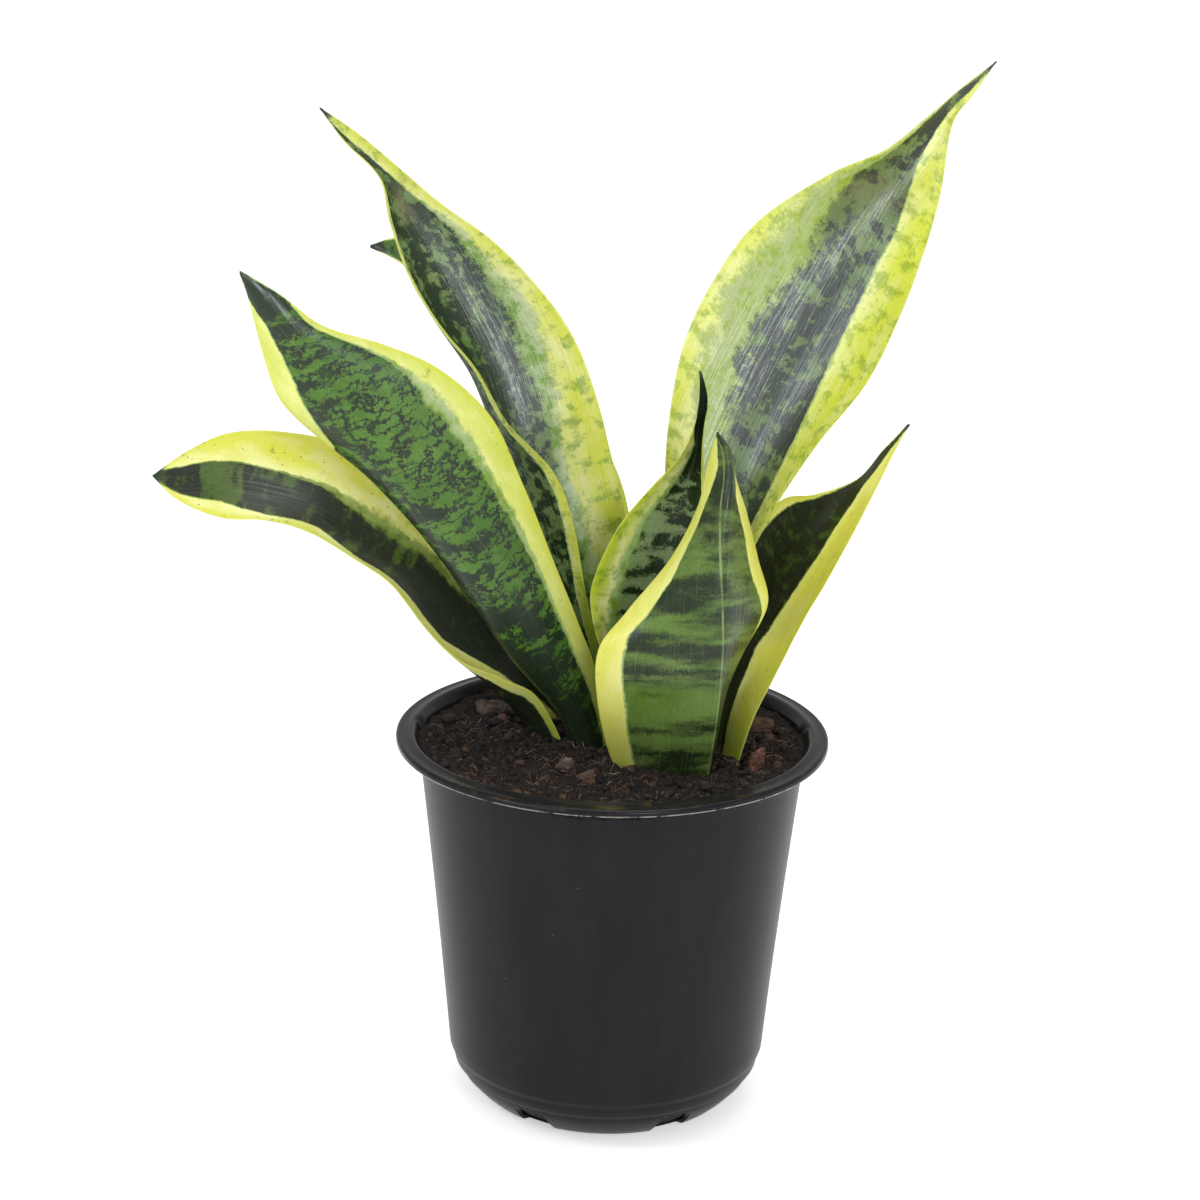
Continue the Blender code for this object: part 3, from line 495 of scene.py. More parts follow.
LEAF_LOOKS = {
    "leaf_back_right": leaf_look(
        left=(
            (0, -0.85, -0.5), (0.4, -0.88, -0.4), (0.46, -0.9, -0.47), (0.52, -0.95, -0.5),
            (0.58, -0.98, -0.5), (0.62, -0.98, -0.44), (0.67, -0.99, -0.6), (0.72, -1, -0.76),
            (0.85, -1.02, -0.85), (0.93, -1.05, -1), (1, -1.05, -1),
        ),
        right=(
            (0, 0.7, 0.6), (0.36, 0.62, 0.58), (0.41, 0.56, 0.52), (0.47, 0.47, 0.43), (0.54, 0.35, 0.31),
            (0.6, 0.34, 0.3), (0.65, 0.36, 0.32), (0.69, 0.43, 0.39), (0.74, 0.38, 0.34),
            (0.79, 0.24, 0.2), (0.85, 0.24, 0.2), (0.93, 0.4, 0.35), (1, 0.6, 0.55),
        ),
        dark=rgb(36, 48, 32), mid=rgb(92, 116, 48), mid2=rgb(112, 134, 74), frost=rgb(174, 188, 126),
        leafy=rgb(140, 168, 26),
        light=((0, 0.4), (0.4, 0.55), (0.48, 0.3), (0.6, 0.35), (0.68, 0.6), (0.85, 0.4)), lean=-0.1,
        patch=6.5, stretch=0.9, teeth=1.8, scar=(0.71, -0.35, 12), ridge=0.22, shine=0.5,
        yellow=rgb(216, 224, 66), cream=rgb(233, 236, 146), marble=0.75, seed=1,
    ),
    "leaf_back_left": leaf_look(
        left=((0, -0.9, -0.88), (0.5, -0.95, -0.93), (0.9, -0.92, -0.9), (1, -1, -1)),
        right=(
            (0, 0.9, 0.6), (0.31, 0.68, 0.56), (0.39, 0.7, 0.55), (0.45, 0.75, 0.49), (0.51, 0.8, 0.48),
            (0.58, 0.85, 0.54), (0.66, 0.85, 0.56), (0.71, 0.87, 0.64), (0.76, 0.8, 0.68),
            (0.82, 0.5, 0.4), (0.9, 0.2, 0.1), (1, -0.5, -0.6),
        ),
        dark=rgb(30, 50, 24), mid=rgb(92, 122, 58), mid2=rgb(124, 148, 90), frost=rgb(190, 203, 154),
        leafy=rgb(112, 150, 36),
        light=((0, 0.45), (0.35, 0.5), (0.5, 0.35), (0.6, 0.4), (0.75, 0.4), (1, 0.3)), patch=5.5,
        stretch=1.1, teeth=2.6, soft=0.04, yellow=rgb(214, 220, 62), marble=0.65, scar=(0.78, 0.1, 8),
        ridge=0.22, shine=0.5, seed=2,
    ),
    "leaf_front_left": leaf_look(
        left=(
            (0, -1.05, -1.02), (0.59, -1.05, -1.02), (0.62, -0.76, -0.72), (0.68, -0.68, -0.64),
            (0.77, -0.56, -0.52), (0.855, -0.52, -0.48), (0.9, -0.75, -0.7), (0.93, -1.05, -1),
            (1, -1.05, -1),
        ),
        right=(
            (0, 1.05, 0.98), (0.1, 0.85, 0.8), (0.2, 0.76, 0.71), (0.29, 0.82, 0.76), (0.44, 0.83, 0.74),
            (0.5, 0.8, 0.68), (0.56, 0.8, 0.64), (0.63, 0.84, 0.68), (0.69, 0.84, 0.76),
            (0.75, 0.82, 0.77), (0.84, 0.78, 0.73), (0.9, 1.02, 0.96), (1, 1.05, 1),
        ),
        dark=rgb(36, 50, 32), mid=rgb(68, 108, 28), mid2=rgb(86, 126, 42),
        light=(
            (0, 0.1), (0.2, 0.25), (0.35, 0.45), (0.5, 0.6), (0.65, 0.75), (0.8, 0.6), (0.88, 0.25),
            (1, 0),
        ),
        lean=0.3, patch=6, stretch=0.5, teeth=4, lines=True, yellow=rgb(198, 206, 84),
        cream=rgb(220, 224, 136), seed=3,
    ),
    "leaf_low_left": leaf_look(
        left=(
            (0, 0.97, 0.99), (0.146, 0.9, 0.92), (0.216, 0.7, 0.74), (0.296, 0.22, 0.27),
            (0.35, -0.24, -0.2), (0.4, -0.7, -0.66), (0.48, -0.72, -0.68), (0.58, -0.9, -0.86),
            (0.66, -0.72, -0.69), (0.75, -0.86, -0.83), (0.84, -0.63, -0.6), (0.92, -0.73, -0.7),
            (1, -0.9, -0.9),
        ),
        left_under=(
            (0, -0.92, -0.9), (0.14, -0.9, -0.88), (0.23, -0.8, -0.77), (0.4, -0.8, -0.78),
            (1, -0.9, -0.9),
        ),
        right=(
            (0, 1.05, 1.02), (0.33, 1.02, 0.97), (0.42, 0.9, 0.6), (0.48, 0.7, 0.41), (0.53, 0.55, 0.28),
            (0.59, 0.5, 0.2), (0.65, 0.38, 0.19), (0.7, 0.32, 0.24), (0.78, 0.33, 0.28),
            (0.84, 0.36, 0.32), (0.93, 0.46, 0.42), (1, 0.9, 0.9),
        ),
        dark=rgb(34, 42, 27), mid=rgb(72, 96, 26), mid2=rgb(84, 106, 46), frost=rgb(150, 164, 88),
        leafy=rgb(96, 126, 30),
        light=((0, 0.1), (0.4, 0.2), (0.6, 0.35), (0.7, 0.5), (0.85, 0.55), (0.95, 0.2)), patch=8,
        stretch=0.35, teeth=3.4, soft=0.04, yellow=rgb(217, 217, 78), marble=0.25, spots=1, seed=4,
    ),
    "leaf_front_centre": leaf_look(
        left=(
            (0, -0.86, -0.84), (0.23, -0.84, -0.82), (0.36, -0.84, -0.82), (0.445, -0.85, -0.83),
            (0.49, -0.79, -0.77), (0.556, -0.76, -0.74), (0.626, -0.8, -0.78), (0.715, -0.75, -0.73),
            (0.844, -0.63, -0.61), (0.95, -0.8, -0.76), (1, -1, -1),
        ),
        right=(
            (0, 1.05, 1.02), (0.35, 1.04, 1.01), (0.48, 0.87, 0.84), (0.55, 0.67, 0.64),
            (0.65, 0.62, 0.59), (0.74, 0.32, 0.29), (0.85, 0.6, 0.56), (0.95, 0.9, 0.86), (1, 1, 1),
        ),
        dark=rgb(36, 50, 28), mid=rgb(92, 122, 44), mid2=rgb(110, 136, 66), yellow=rgb(216, 216, 96),
        cream=rgb(228, 227, 136), edge=rgb(218, 217, 98),
        light=(
            (0, 0.1), (0.12, 0.35), (0.3, 0.7), (0.4, 0.4), (0.5, 0.5), (0.7, 0.5), (0.85, 0.2), (1, 0.1),
        ),
        patch=9, stretch=0.22, teeth=3.2, soft=0.07, keel="front", fold=0.8, seed=5,
    ),
    "leaf_right": leaf_look(
        left=(
            (0, -1.02, -1), (0.45, -0.97, -0.95), (0.6, -0.88, -0.86), (0.75, -0.95, -0.93), (1, -1, -1),
        ),
        right=(
            (0, -0.2, -0.24), (0.185, 0.1, 0.06), (0.27, 0.33, 0.29), (0.41, 0.3, 0.26),
            (0.52, 0.34, 0.3), (0.59, 0.33, 0.29), (0.68, 0.2, 0.16), (0.785, 0.15, 0.11),
            (0.87, 0.5, 0.46), (1, 1, 1),
        ),
        dark=rgb(32, 37, 22), mid=rgb(50, 66, 24), mid2=rgb(62, 82, 32), frost=rgb(120, 132, 84),
        light=((0, 0.1), (0.4, 0.25), (0.6, 0.4), (0.8, 0.2), (1, 0.1)), patch=5, stretch=0.7,
        soft=0.05, yellow=rgb(230, 227, 88), cream=rgb(236, 234, 140), marble=0.1, seed=6,
    ),
    "leaf_young_centre": leaf_look(
        left=(
            (0, -0.8, -0.5), (0.34, -0.84, -0.58), (0.4, -0.72, -0.5), (0.5, -0.72, -0.5),
            (0.58, -0.72, -0.56), (0.66, -0.66, -0.5), (0.78, -0.5, -0.3), (0.84, -1.05, -1),
            (1, -1.05, -1),
        ),
        right=(
            (0, 0.85, 0.82), (0.4, 0.88, 0.86), (0.6, 0.92, 0.9), (0.75, 0.83, 0.8), (0.85, 1.05, 1),
            (1, 1.05, 1),
        ),
        dark=rgb(28, 48, 14), mid=rgb(126, 152, 92), mid2=rgb(150, 172, 118), frost=rgb(172, 194, 130),
        leafy=rgb(116, 154, 30),
        light=((0, 0.6), (0.3, 0.62), (0.5, 0.55), (0.65, 0.35), (0.8, 0), (1, 0)), patch=5.5,
        stretch=0.4, teeth=4, yellow=rgb(186, 206, 52), marble=0.7, tip=0.86, seed=7,
    ),
    "leaf_hidden_left": leaf_look(
        left=((0, -0.8, -0.75), (0.5, -0.7, -0.64), (0.85, -0.8, -0.75), (1, -1, -1)),
        right=((0, 0.8, 0.75), (0.5, 0.7, 0.64), (0.85, 0.8, 0.75), (1, 1, 1)), seed=8,
    ),
}


def leaf_material(leaf, side):
    """One side of a leaf: a mottled green field between yellow margins, waxy, with fine long veins."""
    look = LEAF_LOOKS[leaf]
    seed = look["seed"] + (0 if side == "front" else 20)
    made = Nodes(f"{leaf}_{side}")
    spot = made.read("flat", "Vector").stretch((1 / MM,) * 3, (31 * seed, 17 * seed, 5 * seed))
    rise = made.read("rise")
    rim = made.length("rim")

    # Teeth push the pattern up and down the blade, so that every edge of colour is a jagged comb.
    teeth = made.noise(spot.stretch((1, 0.16, 1)), 1, 3, 0.72)
    comb = made.made("ShaderNodeCombineXYZ", {}, 0, (teeth - 0.5) * look["teeth"])
    toothed = made.made("ShaderNodeVectorMath", {"operation": "ADD"}, spot, comb)
    flecks = made.noise(spot.stretch((0.8, 1, 1)), 0.55, 4, 0.75)
    cloudy = made.noise(toothed.stretch((0.8, 0.6, 1)), 8, 5, 0.68)
    jagged = made.noise(toothed.stretch((0.5, 1, 1)), 2.2, 5, 0.7)

    # How far a point is inside the green field: 0 at the margin, 1 past the marbled strip.
    shares = []
    insides = []
    for end in ("left", "right"):
        wide = made.length(end + "_wide")
        cloud = (cloudy - 0.5) * (wide * 1.3 + 0.5)
        edge = (jagged - 0.5) * (wide * 0.6 + 1.2)
        moved = made.length(end + "_in") + (cloud + edge)
        shares.append(moved / wide)
        insides.append(moved)
    field = shares[0].least(shares[1])
    inside = insides[0].least(insides[1])
    grainy = (flecks - 0.5) * look["grain"] + field
    green_share = grainy.step(0, 0.4)
    deep_share = grainy.step(0.75, 1.05)

    # The green field: dark ground with lighter patches drawn out across the blade.
    drawn = toothed.stretch((look["stretch"], 1, 1))
    mottle = flecks * 0.22 + made.noise(drawn, look["patch"], 5, 0.62, 0.2) * 0.78
    wanted = made.read("light") * 0.36 - 0.18
    light_share = (mottle + wanted).step(0.5 - look["soft"], 0.5 + look["soft"])
    if look["lines"]:
        lines = abs(made.noise(drawn, look["patch"] * 0.9, 3, 0.6) - 0.5)
        light_share = light_share * (flecks * -0.03 + lines).step(0.008, 0.024)
    tone = made.noise(spot, 20, 3, 0.6)
    light = made.mix(tone.step(0.35, 0.65), look["mid"], look["mid2"])
    light = made.mix(flecks.step(0.35, 0.7, 0, 0.4), light, look["dark"])
    dark = made.mix(flecks.step(0.3, 0.75), darker(look["dark"], 0.72), look["dark"])
    dark = made.mix(flecks.step(0.58, 0.74, 0, 0.5), dark, look["mid"])
    deep = made.mix(light_share, dark, light)

    # The marbled strip: frosted grey-green with jagged clouds of leaf green.
    cloud_share = made.noise(toothed.stretch((0.8, 0.7, 1)), 6, 6, 0.7).step(0.44, 0.6)
    near_field = field.step(0.35, 0.95, 0, 0.75)
    marbled = made.mix(cloud_share.most(near_field), look["frost"], look["leafy"])
    marbled = made.mix(flecks.step(0.45, 0.75, 0, 0.45), marbled, look["frost"])

    # The margins: cream near the green, yellow at the rim, with yellow-green clouds.
    clouds = made.noise(spot.stretch((1, 0.45, 1)), 9, 4, 0.6)
    near_green = inside.step(-7, 0, 0, 0.45) + clouds.step(0.42, 0.62, 0, 0.55)
    margin = made.mix(near_green, look["yellow"], look["cream"])
    margin = made.mix(rim.step(3, 0.4, 0, 0.6), margin, look["edge"])
    veined = made.noise(toothed.stretch((0.6, 0.8, 1)), 5, 5, 0.68)
    more = 0.22 * look["marble"]
    margin = made.mix(veined.step(0.64 - more, 0.78 - more, 0, 0.7), margin, look["leafy"])
    foot = (clouds * 0.12 + rise).step(0.36, 0.12, 0, 0.75)
    margin = made.mix(foot, margin, rgb(140, 164, 24))
    colour = made.mix(green_share, margin, marbled)
    colour = made.mix(deep_share, colour, deep)

    # Long faint veins, dark and pale.
    veins = made.noise(spot.stretch((1, 0.025, 1)), 0.8, 4, 0.65)
    veiny = green_share * 0.85 + 0.15
    colour = made.mix(veins.step(0.54, 0.78, 0, 0.4) * veiny, colour, darker(look["dark"], 0.6))
    colour = made.mix(veins.step(0.44, 0.2, 0, 0.25) * veiny, colour, look["frost"])

    # A keel: a pale broken line, with painted shade on the low part of the blade behind it.
    if look["keel"] == side:
        across = made.length("rib") + rise.step(0.4, 0.8, 0, 2.6)
        behind = across.step(0.3, 1.5) * rise.step(0.42, 0.3, 0, 0.8)
        # Painted shade: past the keel, the low part of the blade is darkened as if in shadow.
        colour = made.mix(behind, colour, rgb(22, 30, 18))
        line = abs(across).step(0.5, 0.15, 0, 0.6)
        broken = made.noise(spot.stretch((0.2, 1, 1)), 9).step(0.3, 0.6, 0.4, 1)
        colour = made.mix(line * broken, colour, rgb(146, 166, 104))

    # A browned patch, small brown specks and dashes, a thin rim and a dark tip.
    scar = made.read("scar") * cloudy.step(0.4, 0.6)
    colour = made.mix(scar * 0.75, colour, rgb(112, 108, 66))
    dots = made.cells(spot, 2.2).step(0.2, 0.1) * scar
    more = 0.14 * look["spots"]
    speck_place = made.noise(spot, 14, 2, 0.5).step(0.62 - more, 0.7 - more)
    specks = made.cells(spot, 2.6).step(0.13, 0.08) * speck_place
    colour = made.mix(specks.most(dots), colour, rgb(84, 66, 30))
    dash_place = made.noise(spot, 11, 2, 0.5).step(0.56, 0.64)
    dashes = made.cells(spot.stretch((1, 0.3, 1)), 9).step(0.05, 0.02, 0, 0.7)
    colour = made.mix(dashes * dash_place, colour, rgb(150, 112, 44))
    colour = made.mix(rim.step(0.35, 0.1, 0, 0.5), colour, rgb(196, 200, 120))
    tip = (jagged * 0.02 + rise).step(look["tip"], look["tip"] + 0.02)
    colour = made.mix(tip, colour, rgb(44, 56, 36))

    # A waxy bloom: glossier along the veins, duller where the surface is scuffed and on the back.
    scuffs = made.noise(spot.stretch((1, 0.2, 1)), 3, 4, 0.6)
    dull = 0.1 if side == "front" else 0.36
    gloss = veins.step(0.42, 0.6, 0, 0.2) + (scuffs * 0.3 + dull)
    wrinkles = made.noise(spot.stretch((0.5, 1, 1)), 1.2, 3, 0.6)
    made.bump(veins * 0.8 + wrinkles * 0.2, look["ridge"] * MM)
    return made.finish(colour, gloss, Specular_IOR_Level=look["shine"] if side == "front" else 0.15)


def plastic_material():
    """Thin black plastic: semi-matte, with a glossier rim, faint scuffs and some dust; soft streaks of
    painted reflection, a painted glint along the lip, and brown on the rim's top that is partly dust and
    partly a painted glint.
    """
    made = Nodes("black_plastic_look")
    spot = made.place()
    height = made.made("ShaderNodeSeparateXYZ", {}, spot, output="Z")
    level = spot.stretch((1, 1, 0))
    radius = made.made("ShaderNodeVectorMath", {"operation": "LENGTH"}, level, output="Value")
    grain = made.noise(spot, 0.5, 3, 0.6)
    patchy = made.noise(spot.stretch((1, 1, 0.25)), 16, 3, 0.6)
    smears = made.noise(spot, 6, 5, 0.7)
    scuffs = made.noise(spot.stretch((0.6, 0.6, 2)), 1.4, 4, 0.7)
    top, lip = POT_TOP / MM, RIM_RADIUS / MM
    glint_top = (POT_TOP - LIP) / MM + 0.7
    lip_glint = height.step(glint_top, glint_top - 0.4) * radius.step(lip - 1.4, lip - 0.9)
    # Painted reflection: soft, vertically drawn-out patches of lighter black stand for reflections of the
    # lights on the wall, and also give the plastic an uneven tone.
    colour = made.mix(patchy.step(0.3, 0.7), rgb(25, 25, 27), rgb(30, 30, 32))
    colour = made.mix(scuffs.step(0.66, 0.8, 0, 0.2), colour, rgb(70, 70, 72))
    # Brown on the top of the rim: partly dust, partly a painted highlight that stands for golden glints.
    dust_and_glint = height.step(top - 2.2, top - 1.2) * smears.step(0.54, 0.7, 0, 0.3)
    colour = made.mix(dust_and_glint, colour, rgb(96, 72, 46))
    # Painted highlight: a thin pale line along the lip's lower edge stands for a glint of the lights.
    colour = made.mix(lip_glint * smears.step(0.35, 0.52) * 0.75, colour, rgb(176, 172, 164))
    dust = made.cells(spot, 6).step(0.04, 0.025) * patchy.step(0.42, 0.6)
    colour = made.mix(dust, colour, rgb(112, 108, 100))
    on_rim = height.step(top - 6.5, top - 5)
    roughness = patchy * 0.06 + (grain * 0.06 + (on_rim * -0.16 + 0.3))
    made.bump(grain * 0.5 + scuffs * 0.3, 0.02 * MM)
    return made.finish(colour, roughness, Specular_IOR_Level=0.11)


def soil_material():
    """Dark peat with paler crumbs and strands, near black in the hollows of its lumps as painted shade."""
    made = Nodes("dark_peat_look")
    spot = made.place()
    lumps = made.noise(spot, 4, 5, 0.7)
    crumbs = made.noise(spot, 1, 4, 0.7)
    strands = made.noise(spot.stretch((1, 0.2, 0.6)), 0.7, 3, 0.6, 2)
    # Painted shade: where the lumps are low, which the bump makes hollows, the peat goes near black;
    # elsewhere it is the peat's own dark brown.
    colour = made.mix(lumps.step(0.35, 0.65), rgb(15, 11, 10), rgb(38, 28, 22))
    colour = made.mix(crumbs.step(0.5, 0.75, 0, 0.7), colour, rgb(72, 52, 38))
    colour = made.mix(strands.step(0.66, 0.74, 0, 0.5), colour, rgb(116, 90, 64))
    made.bump(lumps + crumbs, 0.8 * MM)
    return made.finish(colour, crumbs.step(0.3, 0.7, 0.7, 0.95), Specular_IOR_Level=0.25)


def crumb_material():
    """Crumbs and bits of bark, each with its own shade."""
    made = Nodes("peat_crumbs_look")
    grain = made.noise(made.place(), 0.6, 4, 0.7)
    own = made.read("own_colour", "Color")
    colour = made.mix(grain.step(0.35, 0.7, 0, 0.6), own, rgb(24, 17, 14))
    made.bump(grain, 0.3 * MM)
    return made.finish(colour, grain.step(0.3, 0.7, 0.65, 0.95), Specular_IOR_Level=0.25)


def fibre_material():
    """Fine roots, each with its own shade."""
    made = Nodes("root_fibre_look")
    grain = made.noise(made.place(), 1.5, 3, 0.6)
    own = made.read("own_colour", "Color")
    colour = made.mix(grain.step(0.4, 0.7, 0, 0.5), own, rgb(96, 66, 40))
    return made.finish(colour, grain.step(0.3, 0.7, 0.5, 0.8), Specular_IOR_Level=0.3)


def bark_material(name, base, pale):
    """Layered bark with pale patches and dark pits."""
    made = Nodes(name)
    spot = made.place()
    layers = made.noise(spot.stretch((0.35, 0.5, 2.2)), 1.6, 5, 0.7, 0.4)
    patches = made.noise(spot, 3.5, 4, 0.65)
    pits = made.noise(spot, 0.5, 4, 0.7)
    colour = made.mix(layers.step(0.38, 0.62), darker(base, 0.4), base)
    colour = made.mix(patches.step(0.48, 0.7, 0, 0.75), colour, pale)
    colour = made.mix(pits.step(0.58, 0.75, 0, 0.6), colour, rgb(28, 20, 16))
    made.bump(layers + pits * 0.5, 0.5 * MM)
    return made.finish(colour, patches.step(0.3, 0.7, 0.6, 0.85), Specular_IOR_Level=0.3)


# ---------------------------------------------------------------- pieces


def new_mesh(name, points, faces):
    mesh = bpy.data.meshes.new(name)
    mesh.from_pydata(points, [], faces)
    return mesh


def new_object(name, data):
    made = bpy.data.objects.new(name, data)
    bpy.context.scene.collection.objects.link(made)
    return made


def finish_piece(piece, materials, slot, *replaced):
    """Gives a piece its materials, puts it under the root body, and hides the CAD parts that it replaces.
    """
    for made_of in materials:
        piece.data.materials.append(made_of)
    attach(piece, "root")
    if replaced:
        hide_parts(*replaced)


def build_leaves():
    for name in LEAF_ROWS:
        blade = new_object(name + "_blade", Leaf(name).build())
        materials = [leaf_material(name, side) for side in ("front", "back")]
        finish_piece(blade, materials, name + "_green", name)


# ---------------------------------------------------------------- pot

WALL = 1.3 * MM
MOUTH_RADIUS = RIM_RADIUS - 8.5 * MM
RING_RADIUS = MOUTH_RADIUS - 12.8 * MM
FOOT_RADIUS = RING_RADIUS - 19.2 * MM
RING_HEIGHT = 19.6 * MM
STEP_HEIGHT = 13.4 * MM
LIP = 3.2 * MM  # how far the rim's outer edge turns down
DRAIN_COUNT = 6
DRAIN_START = math.radians(-61)
DRAIN_SIZE = (16 * MM, 14 * MM, 7.2 * MM)  # along the radius, across it and up
DRAIN_LIFT = 4.3 * MM
DRAIN_TILT = math.radians(-28)
POT_STEPS = 288
# Small dents in the thin rim: bearing from +X and half-width (degrees), push outwards and down (mm)
RIM_DENTS = (
    (174, 3, 0.9, 0.5),
    (6, 3, 0.8, 0.4),
    (-118, 7, 0.5, 0.3),
    (-64, 5, 0.4, 0.35),
    (98, 8, 0.6, 0.3),
)


def pot_outside(height):
    """Outer radius of the pot's wall, which widens a little faster towards the mouth."""
    share = (height - RING_HEIGHT) / (POT_TOP - LIP - RING_HEIGHT)
    return RING_RADIUS + 12.8 * MM * (0.86 * share + 0.14 * share * share)


def pot_inside(height):
    """Inner radius of the wall, which flares in the last few millimetres below the rim."""
    flare_start = POT_TOP - 10 * MM
    straight = pot_outside(min(height, flare_start)) - WALL
    share = min(1, max(0, (height - flare_start) / (5 * MM)))
    return straight + share * (MOUTH_RADIUS - 0.8 * MM - straight)


def arc(centre, radius, start, end, count):
    """Points round part of a circle, angles in degrees."""
    angles = np.radians(np.linspace(start, end, count))
    return [(centre[0] + radius * math.cos(a), centre[1] + radius * math.sin(a)) for a in angles]


def near(radius, height, offsets):
    """Points given by their offsets in millimetres from one point of the outline."""
    return [(radius + out * MM, height + up * MM) for out, up in offsets]


def pot_profile():
    """Closed outline of the pot, from the middle of the floor round the outside and back inside."""
    heights = np.linspace(RING_HEIGHT + 6 * MM, POT_TOP - 8 * MM, 26)
    out = [(0, 0), (FOOT_RADIUS * 0.6, 0)]
    out += arc((FOOT_RADIUS - 0.5 * MM, 1.2 * MM), 1.2 * MM, -90, -65, 4)
    out += near(FOOT_RADIUS, 0, ((7, 2.2), (10, 4.9)))
    step = ((-5, -3.9), (-3.6, -1.3), (-3.3, -0.3), (-2.5, 0.25), (-1.9, 0.8))
    out += near(RING_RADIUS, STEP_HEIGHT, step)
    out += near(RING_RADIUS, RING_HEIGHT, ((-1.3, -2.4), (-1, -1), (-0.35, -0.2), (0.05, 0.9)))
    out += [(pot_outside(h), h) for h in heights]
    under = ((0.2, -6), (0.6, -4.8), (1.1, -3.7), (1.8, -2.8), (2.8, -2.1), (4.2, -2.05))
    out += near(MOUTH_RADIUS, POT_TOP, under)
    out += near(RIM_RADIUS, POT_TOP, ((-2.2, -2.3),))
    out += near(RIM_RADIUS, POT_TOP - LIP, ((-1.5, 0.25), (-1.1, 0.02), (-0.35, 0), (0, 0.35)))
    out += near(RIM_RADIUS, POT_TOP, ((0, -1.75),))
    out += arc((RIM_RADIUS - 1.3 * MM, POT_TOP - 1.75 * MM), 1.3 * MM, 12, 80, 6)
    out += near(RIM_RADIUS, POT_TOP, ((-2, -0.62), (-3, -0.66)))
    crest = ((3.8, -0.35), (3, -0.08), (2.5, -0.04), (2, -0.22), (1.4, -0.7), (0.8, -1.5))
    out += near(MOUTH_RADIUS, POT_TOP, (*crest, (0.2, -2.6), (-0.3, -3.8)))
    out += [(pot_inside(h), h) for h in np.linspace(POT_TOP - 5 * MM, POT_TOP - 10 * MM, 4)]
    out += [(pot_inside(h), h) for h in heights[:-1][::-3]]
    out += near(RING_RADIUS - WALL, RING_HEIGHT, ((-0.8, 0.8),))
    out += near(RING_RADIUS - WALL, STEP_HEIGHT, ((-3.6, 1.2), (-5.4, -3.4)))
    out += near(FOOT_RADIUS, WALL, ((6.4, 2.2), (-0.4, 0)))
    return [*out, (0, WALL)]


def circle(radius, steps, turn=0):
    """(x, y) places round the Z axis, the first one a share of a step away from +X."""
    angles = [2 * math.pi * (i + turn) / steps for i in range(steps)]
    return [(radius * math.cos(a), radius * math.sin(a)) for a in angles]


def turned(name, profile, steps):
    """A closed shape turned about Z from an outline of (radius, height); radius 0 is a pole."""
    points, faces, rings = [], [], []
    for radius, height in profile:
        count = 1 if radius < 1e-9 else steps
        rings.append([len(points) + i % count for i in range(steps)])
        points += [(x, y, height) for x, y in circle(radius, steps)[:count]]
    for low, high in zip(rings, rings[1:] + rings[:1]):
        for i in range(steps):
            j = (i + 1) % steps
            corners = [low[i], low[j], high[j], high[i]]
            face = list(dict.fromkeys(corners))
            if len(face) > 2:
                faces.append(face)
    mesh = new_mesh(name, points, faces)
    shape = bmesh.new()
    shape.from_mesh(mesh)
    bmesh.ops.recalc_face_normals(shape, faces=shape.faces)
    shape.to_mesh(mesh)
    shape.free()
    return mesh


def wear_pot(mesh):
    """The thin wall is not quite round, and its rim has a few dents."""
    for vertex in mesh.vertices:
        p = vertex.co
        radius = math.hypot(p.x, p.y)
        if radius < 1e-6:
            continue
        bearing = math.degrees(math.atan2(p.y, p.x))
        height = p.z / POT_TOP
        push = 0.16 * MM * noise.noise(Vector((p.x * 22, p.y * 22, p.z * 9))) * min(1, 3 * height)
        sink = 0.12 * MM * (noise.noise(Vector((p.x * 30, p.y * 30, 4))) - 0.6) * max(0, height * 12 - 11)
        near_lip = max(0, 1 - abs(radius - MOUTH_RADIUS) / (3.2 * MM)) * max(0, height * 14 - 13)
        # At the back the rim's inner edge stands a little further in, from a small step on each side.
        behind = min(1, max(0, (82 - abs(bearing - 90)) / 2.5))
        push -= 1.3 * MM * behind * near_lip
        # At the front the flange is wider, and hides the soil's edge.
        front = math.exp(-(((bearing + 92) / 38) ** 2)) * max(0, height * 14 - 13)
        push -= 2.4 * MM * front * min(1, (RIM_RADIUS - radius) / (3 * MM))
        for place, wide, out, down in RIM_DENTS:
            away = (bearing - place + 180) % 360 - 180
            share = math.exp(-((away / wide) ** 2)) * near_lip
            push += out * MM * share * 0.8
            sink -= down * MM * share
        push = min(push, RIM_RADIUS - radius)
        p.x *= 1 + push / radius
        p.y *= 1 + push / radius
        p.z = min(p.z + sink, POT_TOP)


def cut(body, tool):
    """Takes the tool's shape out of the body, and removes the tool."""
    step = body.modifiers.new("cut", "BOOLEAN")
    step.operation = "DIFFERENCE"
    step.solver = "EXACT"
    step.object = tool
    bpy.context.view_layer.update()
    graph = bpy.context.evaluated_depsgraph_get()
    result = bpy.data.meshes.new_from_object(body.evaluated_get(graph))
    body.modifiers.clear()
    body.data = result
    bpy.data.objects.remove(tool)


